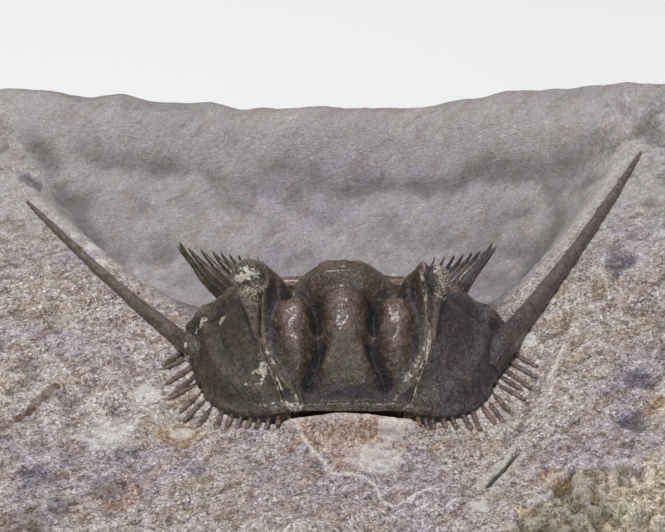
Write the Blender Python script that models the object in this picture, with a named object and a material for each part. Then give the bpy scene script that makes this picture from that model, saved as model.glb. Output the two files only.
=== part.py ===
"""A Leonaspis trilobite, fixed in the block of rock that it was prepared out of.

Shapes are worked out in millimetres from the middle of the head's front edge, with x to the right, y towards the
tail and z up. place() moves them to the block's frame, in metres, whose origin is on the block's flat underside.
"""

import math

import bmesh
import bpy
from mathutils import Vector, noise

MM = 0.001
HEAD_FRONT = Vector((0.0, -8.0, 12.0))  # the head's front edge in the block's frame
SHORTEST_EDGE = 0.008  # corners nearer to each other than this are merged

# Head shield
HEAD_LENGTH = 6.9
HEAD_HALF_WIDTH = 8.0  # at the rear corners
HEAD_FRONT_HALF_WIDTH = 7.35
OUTLINE_POWER = 4.0  # 2 would be an ellipse
DOME_HEIGHT = 3.5
REAR_LIFT = 0.5  # how far the rear corners stand above the front edge
CHEEK_DROOP = 0.4  # how far the cheeks hang below the front edge
HEAD_UNDERSIDE = -1.0
SUTURE_GAP = 0.14
SEAT_GAP = 0.3

# The suture between the middle of the head and a cheek, as (y, x)
SUTURE = (
    (0.0, 2.6), (0.35, 2.95), (0.95, 3.3), (1.6, 3.65), (2.5, 3.98), (3.3, 4.02), (4.1, 3.74), (5.0, 3.74),
    (5.8, 4.4), (6.9, 5.5),
)
CHEEK_FRONT_X = 3.6  # the cheek's share of the front edge ends here
HEAD_ROWS = 16

# Relief of the middle of the head
LOBE_HALF_WIDTH = 1.15
LOBE_FLARE = 0.95
LOBE_HEIGHT = 0.5
SIDE_LOBES = ((2.35, 3.6, 0.9, 0.95), (2.2, 2.05, 0.75, 0.8))  # x, y and half sizes
SIDE_LOBE_HEIGHT = 0.5
PITS = ((1.4, 4.1, 0.26, 0.8), (1.45, 1.95, 0.26, 0.6))
PIT_DEPTH = 0.75
AXIAL_FURROW = ((0.6, 1.7), (1.35, 2.3), (2.0, 3.05), (2.9, 3.4), (4.3, 3.4), (5.4, 3.0), (6.9, 2.9))  # (y, x)
OCCIPITAL_HEIGHT = 0.75
OCCIPITAL_HALF_WIDTH = 2.6
REAR_FALL = 0.95  # dip of the head's rear edge between the occipital ring and the eye

# Eyes: how far out, how high the top, and half the width of each
EYES = {"left": (4.7, 5.85, 0.86), "right": (4.55, 5.6, 0.76)}
EYE_Y = 4.6
EYE_TALLNESS = 1.32
EYE_STALK = 2.3  # how far the head rises to the eye on its inner side
EYE_FOOT = 1.15  # and under it

# Border spines, per side
BORDER_SPINES = 15
BORDER_SPINE_LONG = 2.1
BORDER_SPINE_SHORT = 0.6
BORDER_SPINE_RADIUS = 0.19
BORDER_SPINE_FLOAT = 0.22  # clear of the rock
BORDER_SPINE_LEAN = math.radians(38)  # how far the side spines lean to the front

# Genal spines, one at each rear corner: the tip in plan, and the radius from root to tip
GENAL_SPINES = {
    "left": ((-16.5, 17.4), (0.5, 0.36, 0.27, 0.22, 0.11)),
    "right": ((15.5, 21.6), (0.62, 0.46, 0.35, 0.26, 0.14)),
}
GENAL_ROOT = (7.4, 5.2)  # inside the cheek's rear corner, in plan
GENAL_BURIED = 0.9  # how much further it reaches into the cheek
GENAL_BEND = 0.25  # how far the spine bows outwards
GENAL_FLOAT = 0.22  # clear of the rock

# Thorax
SEGMENTS = 10
SEGMENT_GAP = 0.1
CREST = ((7.2, 4.35), (9.0, 3.25), (11.0, 1.95), (13.0, 0.65), (15.0, -0.45), (17.0, -1.25), (19.0, -1.7))  # (y, z)
THORAX_START_Y = 7.25
THORAX_END_Y = 15.1
AXIS_HALF_WIDTH = (1.75, 1.1)  # first and last segment
PLEURA_HALF_WIDTH = (5.6, 3.3)
RING_HEIGHT = (0.85, 0.5)
PLEURA_DROP = (1.05, 0.7)
SHELL_HALF_THICKNESS = 0.26
PLEURAL_SPINE_LENGTH = (2.7, 3.3)
PLEURAL_SPINE_TURN = (math.radians(28), math.radians(78))  # from straight outwards to almost straight back
PLEURAL_SPINE_LIFT = (math.radians(58), math.radians(4))
PLEURAL_SPINE_SINK = 0.6  # under 1, the lift is lost mostly over the first segments
PLEURAL_SPINE_RADIUS = 0.24

# Tail shield
TAIL_LENGTH = 1.9
TAIL_HALF_WIDTH = 2.9
TAIL_HEIGHT = 0.75
TAIL_THICKNESS = 0.55
# Border spines of one side: where on the rear edge (0 middle, 1 corner), length and outward turn
TAIL_SPINES = ((0.16, 1.5, 4), (0.42, 3.2, 10), (0.62, 1.8, 20), (0.79, 1.6, 32), (0.95, 1.3, 48))

# Rock
ROCK_HALF_X = 26.0
ROCK_HALF_Y = 22.0
ROCK_COLUMNS = 29
ROCK_ROWS = 27
ROCK_WALL_ROWS = 4
ROCK_ROUGHNESS = 0.5
ROCK_WALL_ROUGHNESS = 2.2
ROCK_EDGE_ROUNDING = 1.1
RIM_Y = 26.3  # the crest of the rock behind the hollow
RIM_HEIGHT = 3.75
RIM_FALL = 1.0  # slope behind the crest
# Floor of the hollow behind the head, as (y, z)
HOLLOW_FLOOR = (
    (6.5, 0.8), (8.0, 0.85), (9.0, 0.4), (11.0, -0.95), (13.0, -2.25), (15.0, -3.5), (16.5, -4.1),
    (18.0, -4.15), (19.5, -3.6), (21.0, -2.4), (23.0, -0.5), (25.0, 1.6), (26.5, 2.3), (30.0, 1.9),
)
# Broken front corner: a point on its edge and the direction down the slope, in plan
CHIP_POINT = (10.2, -6.6)
CHIP_DOWN = (0.62, -0.78)
CHIP_SLOPE = 0.42


def ease(low, high, value):
    """0 at low and 1 at high, smooth between, and level beyond. low may be the larger one."""
    share = min(1.0, max(0.0, (value - low) / (high - low)))
    return share * share * (3.0 - 2.0 * share)


def hump(offset, width):
    return math.exp(-((offset / width) ** 2))


def blend(pair, share):
    return pair[0] + (pair[1] - pair[0]) * share


def along(points, at):
    """The value at one place of a smooth curve through (place, value) pairs."""
    if at <= points[0][0]:
        return points[0][1]
    if at >= points[-1][0]:
        return points[-1][1]
    i = max(j for j in range(len(points) - 1) if points[j][0] <= at)
    (a, va), (b, vb) = points[i], points[i + 1]
    before = points[max(0, i - 1)]
    after = points[min(len(points) - 1, i + 2)]
    slope_a = (vb - before[1]) / (b - before[0])
    slope_b = (after[1] - va) / (after[0] - a)
    t = (at - a) / (b - a)
    rise = (b - a) * (slope_a * (t**3 - 2 * t**2 + t) + slope_b * (t**3 - t**2))
    return va + (vb - va) * (3 * t**2 - 2 * t**3) + rise


def place(point):
    return (Vector(point) + HEAD_FRONT) * MM


def half_width(y):
    share = min(1.0, max(0.0, y / HEAD_LENGTH))
    return blend((HEAD_FRONT_HALF_WIDTH, HEAD_HALF_WIDTH), share**2)


def edge_share(x, y):
    """0 in the middle of the head's rear edge and 1 on its outer edge."""
    side = abs(x) / half_width(y)
    ahead = max(0.0, HEAD_LENGTH - y) / HEAD_LENGTH
    return (side**OUTLINE_POWER + ahead**OUTLINE_POWER) ** (1.0 / OUTLINE_POWER)


def outline_point(turn):
    """A point of the head's outer edge, from turn 0 at the rear corner to 1 in the middle of the front."""
    angle = turn * math.pi / 2
    y = HEAD_LENGTH * (1.0 - math.sin(angle) ** (2.0 / OUTLINE_POWER))
    return Vector((half_width(y) * max(0.0, math.cos(angle)) ** (2.0 / OUTLINE_POWER), y))


def resample(points, count):
    """count points evenly spaced along a line."""
    lengths = [0.0]
    for a, b in zip(points, points[1:]):
        lengths.append(lengths[-1] + (b - a).length)
    result = []
    i = 0
    for k in range(count):
        target = lengths[-1] * k / (count - 1)
        while i < len(points) - 2 and lengths[i + 1] < target:
            i += 1
        share = (target - lengths[i]) / (lengths[i + 1] - lengths[i])
        result.append(points[i].lerp(points[i + 1], min(1.0, share)))
    return result


def head_edge(first_x, count):
    """Evenly spaced points of the right edge of the head, from x = first_x at the front to the rear corner."""
    fine = [outline_point(1.0 - k / 400) for k in range(401)]
    return resample([p for p in fine if p.x >= first_x], count)


def rim_level(x, y):
    """Height of the head's edge."""
    droop = CHEEK_DROOP * ease(2.6, 5.0, abs(x)) * ease(6.0, 1.5, y)
    return REAR_LIFT * ease(1.0, HEAD_LENGTH, y) - droop


def glabella(side, y):
    """Middle lobe, side lobes, pits and furrows."""
    lobe_half = LOBE_HALF_WIDTH + LOBE_FLARE * ease(2.6, 0.5, y)
    relief = LOBE_HEIGHT * math.exp(-((side / lobe_half) ** 3)) * ease(0.35, 1.5, y)
    for x_at, y_at, x_half, y_half in SIDE_LOBES:
        relief += SIDE_LOBE_HEIGHT * ease(1.2, 0.35, math.hypot((side - x_at) / x_half, (y - y_at) / y_half))
    for x_at, y_at, x_half, y_half in PITS:
        relief -= PIT_DEPTH * hump(math.hypot((side - x_at) / x_half, (y - y_at) / y_half), 1.0)
    relief -= 0.25 * hump(side - 1.5, 0.3) * ease(0.9, 1.6, y) * ease(5.3, 4.6, y)
    return relief - 0.35 * hump(side - along(AXIAL_FURROW, y), 0.32) * ease(0.5, 1.2, y)


def occipital(side, y):
    """The ring at the rear of the middle lobe, and the border beside it."""
    across = ease(OCCIPITAL_HALF_WIDTH, 0.9, side)
    ring = OCCIPITAL_HEIGHT * across * ease(5.15, 6.0, y) + 0.12 * hump(side, 0.3) * hump(y - 6.3, 0.3)
    ring -= REAR_FALL * hump(side - 3.1, 1.15) * ease(4.9, 6.3, y) + 0.35 * ease(6.4, HEAD_LENGTH, y) * across
    furrow = 0.22 * hump(y - 5.2, 0.28) * ease(3.2, 2.4, side)
    border = 0.22 * ease(6.15, 6.5, y) - 0.18 * hump(y - 5.95, 0.3)
    return ring - furrow + border * ease(2.2, 3.0, side)


def eye_rise(side, y):
    """The stalk under the eye and the ridge that runs forward from it beside the suture."""
    eye_x = EYES["left"][0]
    reach = math.hypot(side - eye_x + 0.1, (y - EYE_Y) * 1.05)
    stalk = EYE_FOOT * hump(reach, 0.85) + EYE_STALK * hump(reach, 1.15) * ease(eye_x, eye_x - 0.95, side)
    ridge_x = along(SUTURE, y) - 0.3
    return stalk + 0.3 * hump(side - ridge_x, 0.3) * ease(0.3, 1.2, y) * ease(5.2, 4.0, y)


def border_roll(x, y):
    """The rolled border along the edge of the head and the furrow inside it."""
    inside = (1.0 - edge_share(x, y)) * HEAD_HALF_WIDTH
    return 0.2 * hump(inside - 0.28, 0.22) - 0.16 * hump(inside - 0.75, 0.25)


def head_height(x, y):
    side = abs(x)
    power = 2.5 + 0.8 * ease(2.4, 4.8, side)
    dome = DOME_HEIGHT * (1.0 - min(1.0, edge_share(x, y)) ** power)
    relief = eye_rise(side, y) + border_roll(x, y) + occipital(side, y)
    if side < 4.4:
        relief += glabella(side, y)
    return rim_level(x, y) + dome + relief


def surface(x, y):
    """Rock around the fossil, without roughness, and without the hollow behind the head."""
    side = abs(x)
    height = -0.7 + 0.165 * max(0.0, y) - 0.0017 * max(0.0, y) ** 2
    height += 0.5 * hump(x, 2.6) * hump(y + 0.5, 2.4) + 0.02 * min(0.0, y)
    height += 0.035 * max(0.0, side - 8.0) + 0.004 * max(0.0, x - 10.0) * max(0.0, y - 8.0) ** 0.9
    chip = (x - CHIP_POINT[0]) * CHIP_DOWN[0] + (y - CHIP_POINT[1]) * CHIP_DOWN[1]
    return height - CHIP_SLOPE * max(0.0, chip) ** 1.15


def rear_rim(x, y):
    """The crest of the rock behind the hollow, and the slope behind it."""
    crest = RIM_HEIGHT + 0.0015 * x * x + 0.6 * ease(8.0, 15.0, x) - 0.5 * hump(x + 5.4, 0.8)
    return crest - RIM_FALL * max(0.0, y - RIM_Y)


def hollow_edge(x, y):
    """How far a point lies outside the two genal spines, which bound the hollow."""
    tip = Vector(GENAL_SPINES["right" if x > 0 else "left"][0])
    root = Vector((math.copysign(GENAL_ROOT[0], x), GENAL_ROOT[1]))
    line = (tip - root).normalized()
    outward = Vector((line.y, -line.x)) * (1.0 if x > 0 else -1.0)
    return (Vector((x, y)) - root).dot(outward)


def rock_height(x, y):
    """The rock's whole upper surface, without roughness."""
    outside = hollow_edge(x, y) if y > HEAD_LENGTH - 1.5 else 1.0
    floor = along(HOLLOW_FLOOR, y) + 0.012 * x * x * ease(9.0, 18.0, y)
    ground = floor + (surface(x, y) - floor) * ease(-4.2, -0.4, outside)
    return ground + (rear_rim(x, y) - ground) * ease(RIM_Y - 3.5, RIM_Y + 0.2, y)


def make_material(name, colour, roughness):
    material = bpy.data.materials.new(name)
    material.use_nodes = True
    shader = material.node_tree.nodes["Principled BSDF"]
    shader.inputs["Base Color"].default_value = (*colour, 1.0)
    shader.inputs["Roughness"].default_value = roughness
    shader.inputs["Metallic"].default_value = 0.0
    return material


def drop_slivers(bm):
    """Merges corners that lie closer together than the shape needs."""
    bmesh.ops.remove_doubles(bm, verts=bm.verts, dist=SHORTEST_EDGE * MM)
    bmesh.ops.dissolve_degenerate(bm, edges=bm.edges, dist=SHORTEST_EDGE * MM / 2)


def finish_mesh(bm, name, material):
    drop_slivers(bm)
    bmesh.ops.recalc_face_normals(bm, faces=bm.faces)
    mesh = bpy.data.meshes.new(name)
    bm.to_mesh(mesh)
    bm.free()
    obj = bpy.data.objects.new(name, mesh)
    bpy.context.scene.collection.objects.link(obj)
    obj.data.materials.append(material)
    mesh.shade_smooth()
    mesh.set_sharp_from_angle(angle=math.radians(50))
    return obj


def add_grid(bm, rows):
    """A sheet of quads through rows of points. Returns its corners, row by row."""
    verts = [[bm.verts.new(place(point)) for point in row] for row in rows]
    for row, following in zip(verts, verts[1:]):
        for i in range(len(row) - 1):
            bm.faces.new((row[i], row[i + 1], following[i + 1], following[i]))
    return verts


def bridge_rings(bm, ring, following):
    """Quads between two closed rings of corners."""
    count = len(ring)
    for k in range(count):
        after = (k + 1) % count
        bm.faces.new((ring[k], ring[after], following[after], following[k]))


def close_below(bm, level):
    """Walls from the sheet's edge down to a flat underside."""
    rim = [edge for edge in bm.edges if edge.is_boundary]
    grown = bmesh.ops.extrude_edge_only(bm, edges=rim)["geom"]
    for vert in grown:
        if isinstance(vert, bmesh.types.BMVert):
            vert.co.z = place((0.0, 0.0, level)).z
    lower = [edge for edge in grown if isinstance(edge, bmesh.types.BMEdge) and edge.is_boundary]
    bmesh.ops.contextual_create(bm, geom=lower)


def add_spike(bm, path, radii, sides):
    """A tapering spine along a path, closed at both ends."""
    rings = []
    for i, point in enumerate(path):
        ahead = (path[min(i + 1, len(path) - 1)] - path[max(i - 1, 0)]).normalized()
        across = ahead.cross(Vector((0.0, 0.0, 1.0))).normalized()
        upward = across.cross(ahead)
        ring = []
        for k in range(sides):
            angle = 2 * math.pi * k / sides
            ring.append(bm.verts.new(place(point + radii[i] * (across * math.cos(angle) + upward * math.sin(angle)))))
        rings.append(ring)
    for ring, following in zip(rings, rings[1:]):
        bridge_rings(bm, ring, following)
    bm.faces.new(rings[0])
    bm.faces.new(rings[-1])


def join_solids(obj, helpers, operation="UNION"):
    """Joins or cuts with each helper in turn, and keeps the result as the object's own mesh."""
    for helper in helpers:
        modifier = obj.modifiers.new(helper.name, "BOOLEAN")
        modifier.operation = operation
        modifier.object = helper
        modifier.solver = "EXACT"
        helper.hide_render = True
        helper.display_type = "WIRE"
    graph = bpy.context.evaluated_depsgraph_get()
    whole = bpy.data.meshes.new_from_object(obj.evaluated_get(graph))
    obj.modifiers.clear()
    bm = bmesh.new()
    bm.from_mesh(whole)
    drop_slivers(bm)
    bm.to_mesh(whole)
    bm.free()
    obj.data = whole
    for helper in helpers:
        bpy.data.objects.remove(helper, do_unlink=True)
    whole.shade_smooth()
    whole.set_sharp_from_angle(angle=math.radians(50))


def head_rows():
    """Places from front to rear at which the head's pieces have their rows of points, closer together at the ends."""
    shares = [j / (HEAD_ROWS - 1) for j in range(HEAD_ROWS)]
    return [HEAD_LENGTH * (0.65 * share + 0.35 * ease(0.0, 1.0, share)) for share in shares]


def make_cranidium(material):
    columns = 25
    grid = []
    for y in head_rows():
        limit = along(SUTURE, y) - SUTURE_GAP / 2
        row = []
        for i in range(columns):
            x = limit * (2 * i / (columns - 1) - 1)
            y_here = max(y, outline_y(abs(x)))
            row.append((x, y_here, head_height(x, y_here)))
        grid.append(row)
    bm = bmesh.new()
    add_grid(bm, grid)
    close_below(bm, HEAD_UNDERSIDE)
    return finish_mesh(bm, "cranidium", material)


def cheek_grid(sign):
    """Rows from the suture out to the cheek's edge, from front to rear."""
    columns = 11
    edge = head_edge(CHEEK_FRONT_X, HEAD_ROWS)
    grid = []
    for j, y in enumerate(head_rows()):
        x = along(SUTURE, y) + SUTURE_GAP / 2
        inner = Vector((x, max(y, outline_y(x))))
        row = []
        for i in range(columns):
            share = i / (columns - 1)
            point = inner.lerp(edge[j], 0.55 * share + 0.45 * math.sin(share * math.pi / 2))
            point.y = max(point.y, outline_y(min(point.x, HEAD_FRONT_HALF_WIDTH - 0.2)))
            row.append((sign * point.x, point.y, head_height(point.x, point.y)))
        grid.append(row)
    return grid


def outline_y(x):
    """Where the head's front edge lies at this x."""
    return HEAD_LENGTH * (1 - (1 - (x / HEAD_FRONT_HALF_WIDTH) ** OUTLINE_POWER) ** (1 / OUTLINE_POWER))


def make_eye(side, sign, material):
    across, top, radius = EYES[side]
    tall = radius * EYE_TALLNESS
    bm = bmesh.new()
    bmesh.ops.create_uvsphere(bm, u_segments=12, v_segments=9, radius=1.0)
    centre = Vector((sign * across, EYE_Y, top - tall))
    for vert in bm.verts:
        vert.co = place(centre + Vector((vert.co.x * radius, vert.co.y * radius, vert.co.z * tall)))
    return finish_mesh(bm, "eye", material)


def genal_path(side):
    """Points of the genal spine, from inside the cheek's rear corner to the tip, lying along the rock."""
    tip, radii = GENAL_SPINES[side]
    sign = math.copysign(1.0, tip[0])
    root = Vector((sign * GENAL_ROOT[0], GENAL_ROOT[1]))
    tip = Vector(tip)
    line = tip - root
    outward = Vector((line.y, -line.x)).normalized() * sign
    steps = 10
    buried = root - line.normalized() * GENAL_BURIED
    path, sizes = [Vector((buried.x, buried.y, rim_level(buried.x, buried.y) - 0.3))], [radii[0] * 0.6]
    for k in range(steps + 1):
        share = k / steps
        flat = root + line * share + outward * GENAL_BEND * math.sin(math.pi * share)
        radius = along([(n / (len(radii) - 1), r) for n, r in enumerate(radii)], share)
        lying = rock_height(flat.x, flat.y) + radius + GENAL_FLOAT
        rooted = rim_level(flat.x, min(flat.y, HEAD_LENGTH)) - 0.1
        path.append(Vector((flat.x, flat.y, rooted + (lying - rooted) * ease(0.0, 0.1, share))))
        sizes.append(radius)
    return path, sizes


def make_border_spines(sign, material):
    """The row of small spines along the cheek's edge, their tips down on the rock."""
    bm = bmesh.new()
    edge = head_edge(CHEEK_FRONT_X - 0.5, 200)
    for k in range(BORDER_SPINES):
        share = (k + 0.3) / BORDER_SPINES
        at = int(4 + 182 * share)
        point = edge[at]
        tangent = (edge[at + 4] - edge[at - 4]).normalized()
        normal = Vector((tangent.y, -tangent.x))
        sideways = ease(0.2, 0.9, normal.x)
        lean = -BORDER_SPINE_LEAN * sideways
        ahead = Vector((
            normal.x * math.cos(lean) - normal.y * math.sin(lean),
            normal.x * math.sin(lean) + normal.y * math.cos(lean),
        ))
        length = blend((BORDER_SPINE_SHORT, BORDER_SPINE_LONG), sideways)
        path = []
        for step, out in enumerate((-0.4, 0.12, 0.12 + length * 0.5, length)):
            flat = point + ahead * out
            resting = surface(flat.x, flat.y) + BORDER_SPINE_FLOAT + BORDER_SPINE_RADIUS
            rooted = rim_level(flat.x, flat.y) - 0.05
            height = rooted + (resting - rooted) * (0.0, 0.15, 0.75, 1.0)[step]
            path.append(Vector((sign * flat.x, flat.y, height)))
        sizes = [BORDER_SPINE_RADIUS * s for s in (1.1, 1.05, 0.95, 0.6)]
        add_spike(bm, path, sizes, 5)
    return finish_mesh(bm, "border_spines", material)


def make_free_cheek(side, sign, material):
    bm = bmesh.new()
    add_grid(bm, cheek_grid(sign))
    close_below(bm, HEAD_UNDERSIDE)
    cheek = finish_mesh(bm, "free_cheek_" + side, material)
    bm = bmesh.new()
    path, sizes = genal_path(side)
    add_spike(bm, path, sizes, 8)
    genal = finish_mesh(bm, "genal_spine", material)
    join_solids(cheek, [make_eye(side, sign, material), genal, make_border_spines(sign, material)])
    return cheek


def segment_profile(kind):
    """Outline of a segment's section, from front to rear: a smooth ring, a furrowed pleura or a round spine."""
    ring = ((-1.0, -1.0), (-1.0, 0.25), (-0.45, 0.85), (0.3, 1.0), (0.9, 0.6), (1.0, -0.4), (0.5, -1.0))
    pleura = ((-1.0, -1.0), (-1.0, 0.35), (-0.5, 0.6), (-0.1, 0.1), (0.5, 1.0), (1.0, 0.1), (0.6, -1.0))
    spine = [(-math.cos(a), math.sin(a)) for a in (2 * math.pi * k / 7 - 0.9 for k in range(7))]
    return {"ring": ring, "pleura": pleura, "spine": spine}[kind]


def segment_stations(share):
    """From the middle outwards: place across and back, drop, half length, half thickness and section."""
    axis = blend(AXIS_HALF_WIDTH, share)
    pleura = blend(PLEURA_HALF_WIDTH, share)
    ring = blend(RING_HEIGHT, share)
    drop = blend(PLEURA_DROP, share)
    length = (THORAX_END_Y - THORAX_START_Y) / SEGMENTS / 2 * 1.17 - SEGMENT_GAP / 2
    thick = SHELL_HALF_THICKNESS
    reach = pleura - axis
    stations = [
        (0.0, 0.0, 0.0, length, thick, "ring"),
        (axis * 0.55, 0.0, ring * 0.16, length, thick, "ring"),
        (axis * 0.93, 0.0, ring * 0.7, length, thick, "ring"),
        (axis + reach * 0.08, 0.0, ring, length, thick, "pleura"),
        (axis + reach * 0.45, 0.0, ring + drop * 0.12, length, thick, "pleura"),
        (axis + reach * 0.8, 0.05, ring + drop * 0.55, length * 0.94, thick * 0.95, "pleura"),
        (pleura, 0.12, ring + drop, length * 0.62, thick * 0.8, "pleura"),
    ]
    turn, lift = blend(PLEURAL_SPINE_TURN, share), blend(PLEURAL_SPINE_LIFT, share**PLEURAL_SPINE_SINK)
    out, back, low = pleura, 0.12, ring + drop
    steps = 3
    for k in range(1, steps + 1):
        bend = turn * (0.55 + 0.45 * k / steps)
        stride = blend(PLEURAL_SPINE_LENGTH, share) / steps
        out += stride * math.cos(bend) * math.cos(lift)
        back += stride * math.sin(bend) * math.cos(lift)
        low -= stride * math.sin(lift)
        radius = PLEURAL_SPINE_RADIUS * (1.0, 0.72, 0.28)[k - 1]
        stations.append((out, back, low, radius, radius, "spine"))
    return stations


def crest_frame(y):
    """A point of the thorax's crest, the direction along it and the direction out of it."""
    point = Vector((0.0, y, along(CREST, y)))
    tangent = Vector((0.0, 0.4, along(CREST, y + 0.2) - along(CREST, y - 0.2))).normalized()
    return point, tangent, Vector((0.0, -tangent.z, tangent.y))


def make_segment(index, material):
    share = index / (SEGMENTS - 1)
    y = THORAX_START_Y + (THORAX_END_Y - THORAX_START_Y) * (index + 0.5) / SEGMENTS
    crest, tangent, outward = crest_frame(y)
    middle = crest - outward * SHELL_HALF_THICKNESS
    stations = segment_stations(share)
    bm = bmesh.new()
    loops = []
    for sign, station in [(-1, s) for s in reversed(stations[1:])] + [(1, s) for s in stations]:
        across, back, low, half_length, half_thick, kind = station
        centre = middle + Vector((sign * across, back, -low))
        loops.append([
            bm.verts.new(place(centre + tangent * (a * half_length) + outward * (b * half_thick)))
            for a, b in segment_profile(kind)
        ])
    for loop, following in zip(loops, loops[1:]):
        bridge_rings(bm, loop, following)
    bm.faces.new(loops[0])
    bm.faces.new(loops[-1])
    return finish_mesh(bm, f"thorax_segment_{index + 1:02d}", material)


def tail_point(s, t):
    """A point of the tail shield's upper surface, s across from -1 to 1 and t from front to rear."""
    crest, tangent, outward = crest_frame(THORAX_END_Y + 0.1)
    across = TAIL_HALF_WIDTH * s * (1.0 - 0.42 * t * t)
    back = TAIL_LENGTH * t * (1.0 - 0.5 * s * s) + SEGMENT_GAP + 0.16 * s * s * (1.0 - t)
    ring = 0.45 * ease(0.42, 0.3, abs(s)) * ease(1.0, 0.75, t) * (0.8 + 0.2 * math.cos(t * 4 * math.pi))
    ribs = 0.12 * ease(0.35, 0.5, abs(s)) * ease(1.0, 0.8, abs(s)) * math.cos(3 * math.pi * (t + 0.35 * abs(s)))
    height = -0.45 - TAIL_HEIGHT * (0.75 * s * s + 0.35 * t * t) + ring + ribs
    return crest + Vector((across, 0.0, 0.0)) + tangent * back + outward * height


def make_pygidium(material):
    columns, rows = 11, 6
    bm = bmesh.new()
    add_grid(bm, [[tail_point(2 * i / (columns - 1) - 1, j / (rows - 1)) for i in range(columns)] for j in range(rows)])
    rim = [edge for edge in bm.edges if edge.is_boundary]
    grown = bmesh.ops.extrude_edge_only(bm, edges=rim)["geom"]
    for vert in grown:
        if isinstance(vert, bmesh.types.BMVert):
            vert.co.z -= TAIL_THICKNESS * MM
    lower = [edge for edge in grown if isinstance(edge, bmesh.types.BMEdge) and edge.is_boundary]
    underside = bmesh.ops.contextual_create(bm, geom=lower)["faces"]
    bmesh.ops.poke(bm, faces=underside)
    tail = finish_mesh(bm, "pygidium", material)
    bm = bmesh.new()
    crest, tangent, outward = crest_frame(THORAX_END_Y + 0.1)
    for sign in (-1, 1):
        for at, length, turn in TAIL_SPINES:
            root = tail_point(sign * at, 0.97 - 0.25 * at) - outward * (TAIL_THICKNESS * 0.5)
            sideways = Vector((sign * math.sin(math.radians(turn)), 0.0, 0.0))
            ahead = tangent * math.cos(math.radians(turn)) + sideways
            path = [root + ahead * out for out in (-0.2, length * 0.35, length * 0.7, length)]
            size = 0.2 if length > 2 else 0.14
            add_spike(bm, path, [size, size * 0.85, size * 0.6, size * 0.25], 5)
    join_solids(tail, [finish_mesh(bm, "tail_spines", material)])
    return tail


def rock_roughness(x, y, z):
    """Uneven broken rock, kept off the fossil and its spines."""
    away = min(1.0, max(edge_distance(x, y), 0.0) / 2.5)
    coarse = noise.noise(Vector((x, y, z)) * 0.21)
    fine = noise.noise(Vector((x, y, z + 40.0)) * 0.55)
    return ROCK_ROUGHNESS * away * (coarse + 0.5 * fine)


def edge_distance(x, y):
    """Rough distance in plan from the fossil."""
    to_head = (edge_share(x, y) - 1.15) * HEAD_HALF_WIDTH if y < HEAD_LENGTH else abs(x) - 10.0
    to_spine = abs(hollow_edge(x, y)) - 1.3 if 5.0 < y < 20.5 else 5.0
    to_thorax = math.hypot(x / 1.25, y - 12.0) - 7.5
    return min(to_head if y < 9.0 else 5.0, to_spine, to_thorax)


def rock_plan(s, t):
    """A point of the block's outline and inside, from s and t between -1 and 1, closer together in the middle."""
    x = ROCK_HALF_X * (0.6 * s + 0.4 * s**3) * (1.0 - 0.09 * t**4 - 0.03 * t)
    y = ROCK_HALF_Y * (0.64 * t + 0.36 * t**3) * (1.0 - 0.1 * s**4 + 0.03 * s)
    uneven = max(abs(s), abs(t)) ** 5 * 1.3
    x += uneven * noise.noise(Vector((2.2 * t, 1.7 * s, 5.0)))
    y += uneven * noise.noise(Vector((2.0 * s, 2.9 * t, 9.0)))
    return x, y - HEAD_FRONT.y


def rock_wall_point(top, depth):
    """A point of the block's broken side below a corner of its top, depth 0 at the top and 1 at the underside."""
    outward = top.xy.normalized()
    bulge = 1.0 * math.sin(math.pi * depth) - 1.0 * depth**3
    ledge = noise.noise(Vector((top.x, top.y, 0.004 * depth)) * 210) * math.sin(math.pi * depth**0.7)
    shift = outward * (bulge + ROCK_WALL_ROUGHNESS * ledge) * MM
    return Vector((top.x + shift.x, top.y + shift.y, top.z * (1.0 - depth)))


def make_matrix(material):
    grid = []
    for j in range(ROCK_ROWS + 1):
        row = []
        for i in range(ROCK_COLUMNS + 1):
            s, t = 2 * i / ROCK_COLUMNS - 1, 2 * j / ROCK_ROWS - 1
            x, y = rock_plan(s, t)
            z = rock_height(x, y)
            rounding = ROCK_EDGE_ROUNDING * ease(0.86, 1.0, max(abs(s), abs(t))) ** 2
            row.append((x, y, z + rock_roughness(x, y, z) - rounding))
        grid.append(row)
    bm = bmesh.new()
    verts = add_grid(bm, grid)
    ring = verts[0] + [row[-1] for row in verts[1:-1]]
    ring += verts[-1][::-1] + [row[0] for row in verts[-2:0:-1]]
    corners = [vert.co.copy() for vert in ring]
    for step in range(1, ROCK_WALL_ROWS + 1):
        lower = [bm.verts.new(rock_wall_point(corner, step / ROCK_WALL_ROWS)) for corner in corners]
        bridge_rings(bm, ring, lower)
        ring = lower
    bm.faces.new(ring)
    rock = finish_mesh(bm, "matrix", material)
    join_solids(rock, [make_head_pocket(material)], "DIFFERENCE")
    return rock


def make_head_pocket(material):
    """The space in the rock that the head's underside sits in."""
    right = head_edge(0.0, 26)
    loop = right + [Vector((-p.x, p.y)) for p in reversed(right[1:])]
    middle = Vector((0.0, HEAD_LENGTH / 2))
    bm = bmesh.new()
    verts = []
    for point in loop:
        grown = point + (point - middle).normalized() * SEAT_GAP * 1.3
        verts.append(bm.verts.new(place((grown.x, grown.y, HEAD_UNDERSIDE - SEAT_GAP))))
    base = bm.faces.new(verts)
    walls = bmesh.ops.extrude_face_region(bm, geom=[base])["geom"]
    for vert in walls:
        if isinstance(vert, bmesh.types.BMVert):
            vert.co.z += 6.0 * MM
    return finish_mesh(bm, "head_pocket", material)


def clear_scene():
    for obj in list(bpy.data.objects):
        bpy.data.objects.remove(obj, do_unlink=True)


def main():
    clear_scene()
    shell = make_material("shell", (0.075, 0.058, 0.045), 0.42)
    stone = make_material("limestone", (0.33, 0.28, 0.26), 0.85)
    make_matrix(stone)
    make_cranidium(shell)
    make_free_cheek("left", -1, shell)
    make_free_cheek("right", 1, shell)
    for index in range(SEGMENTS):
        make_segment(index, shell)
    make_pygidium(shell)


main()
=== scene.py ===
import math

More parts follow.
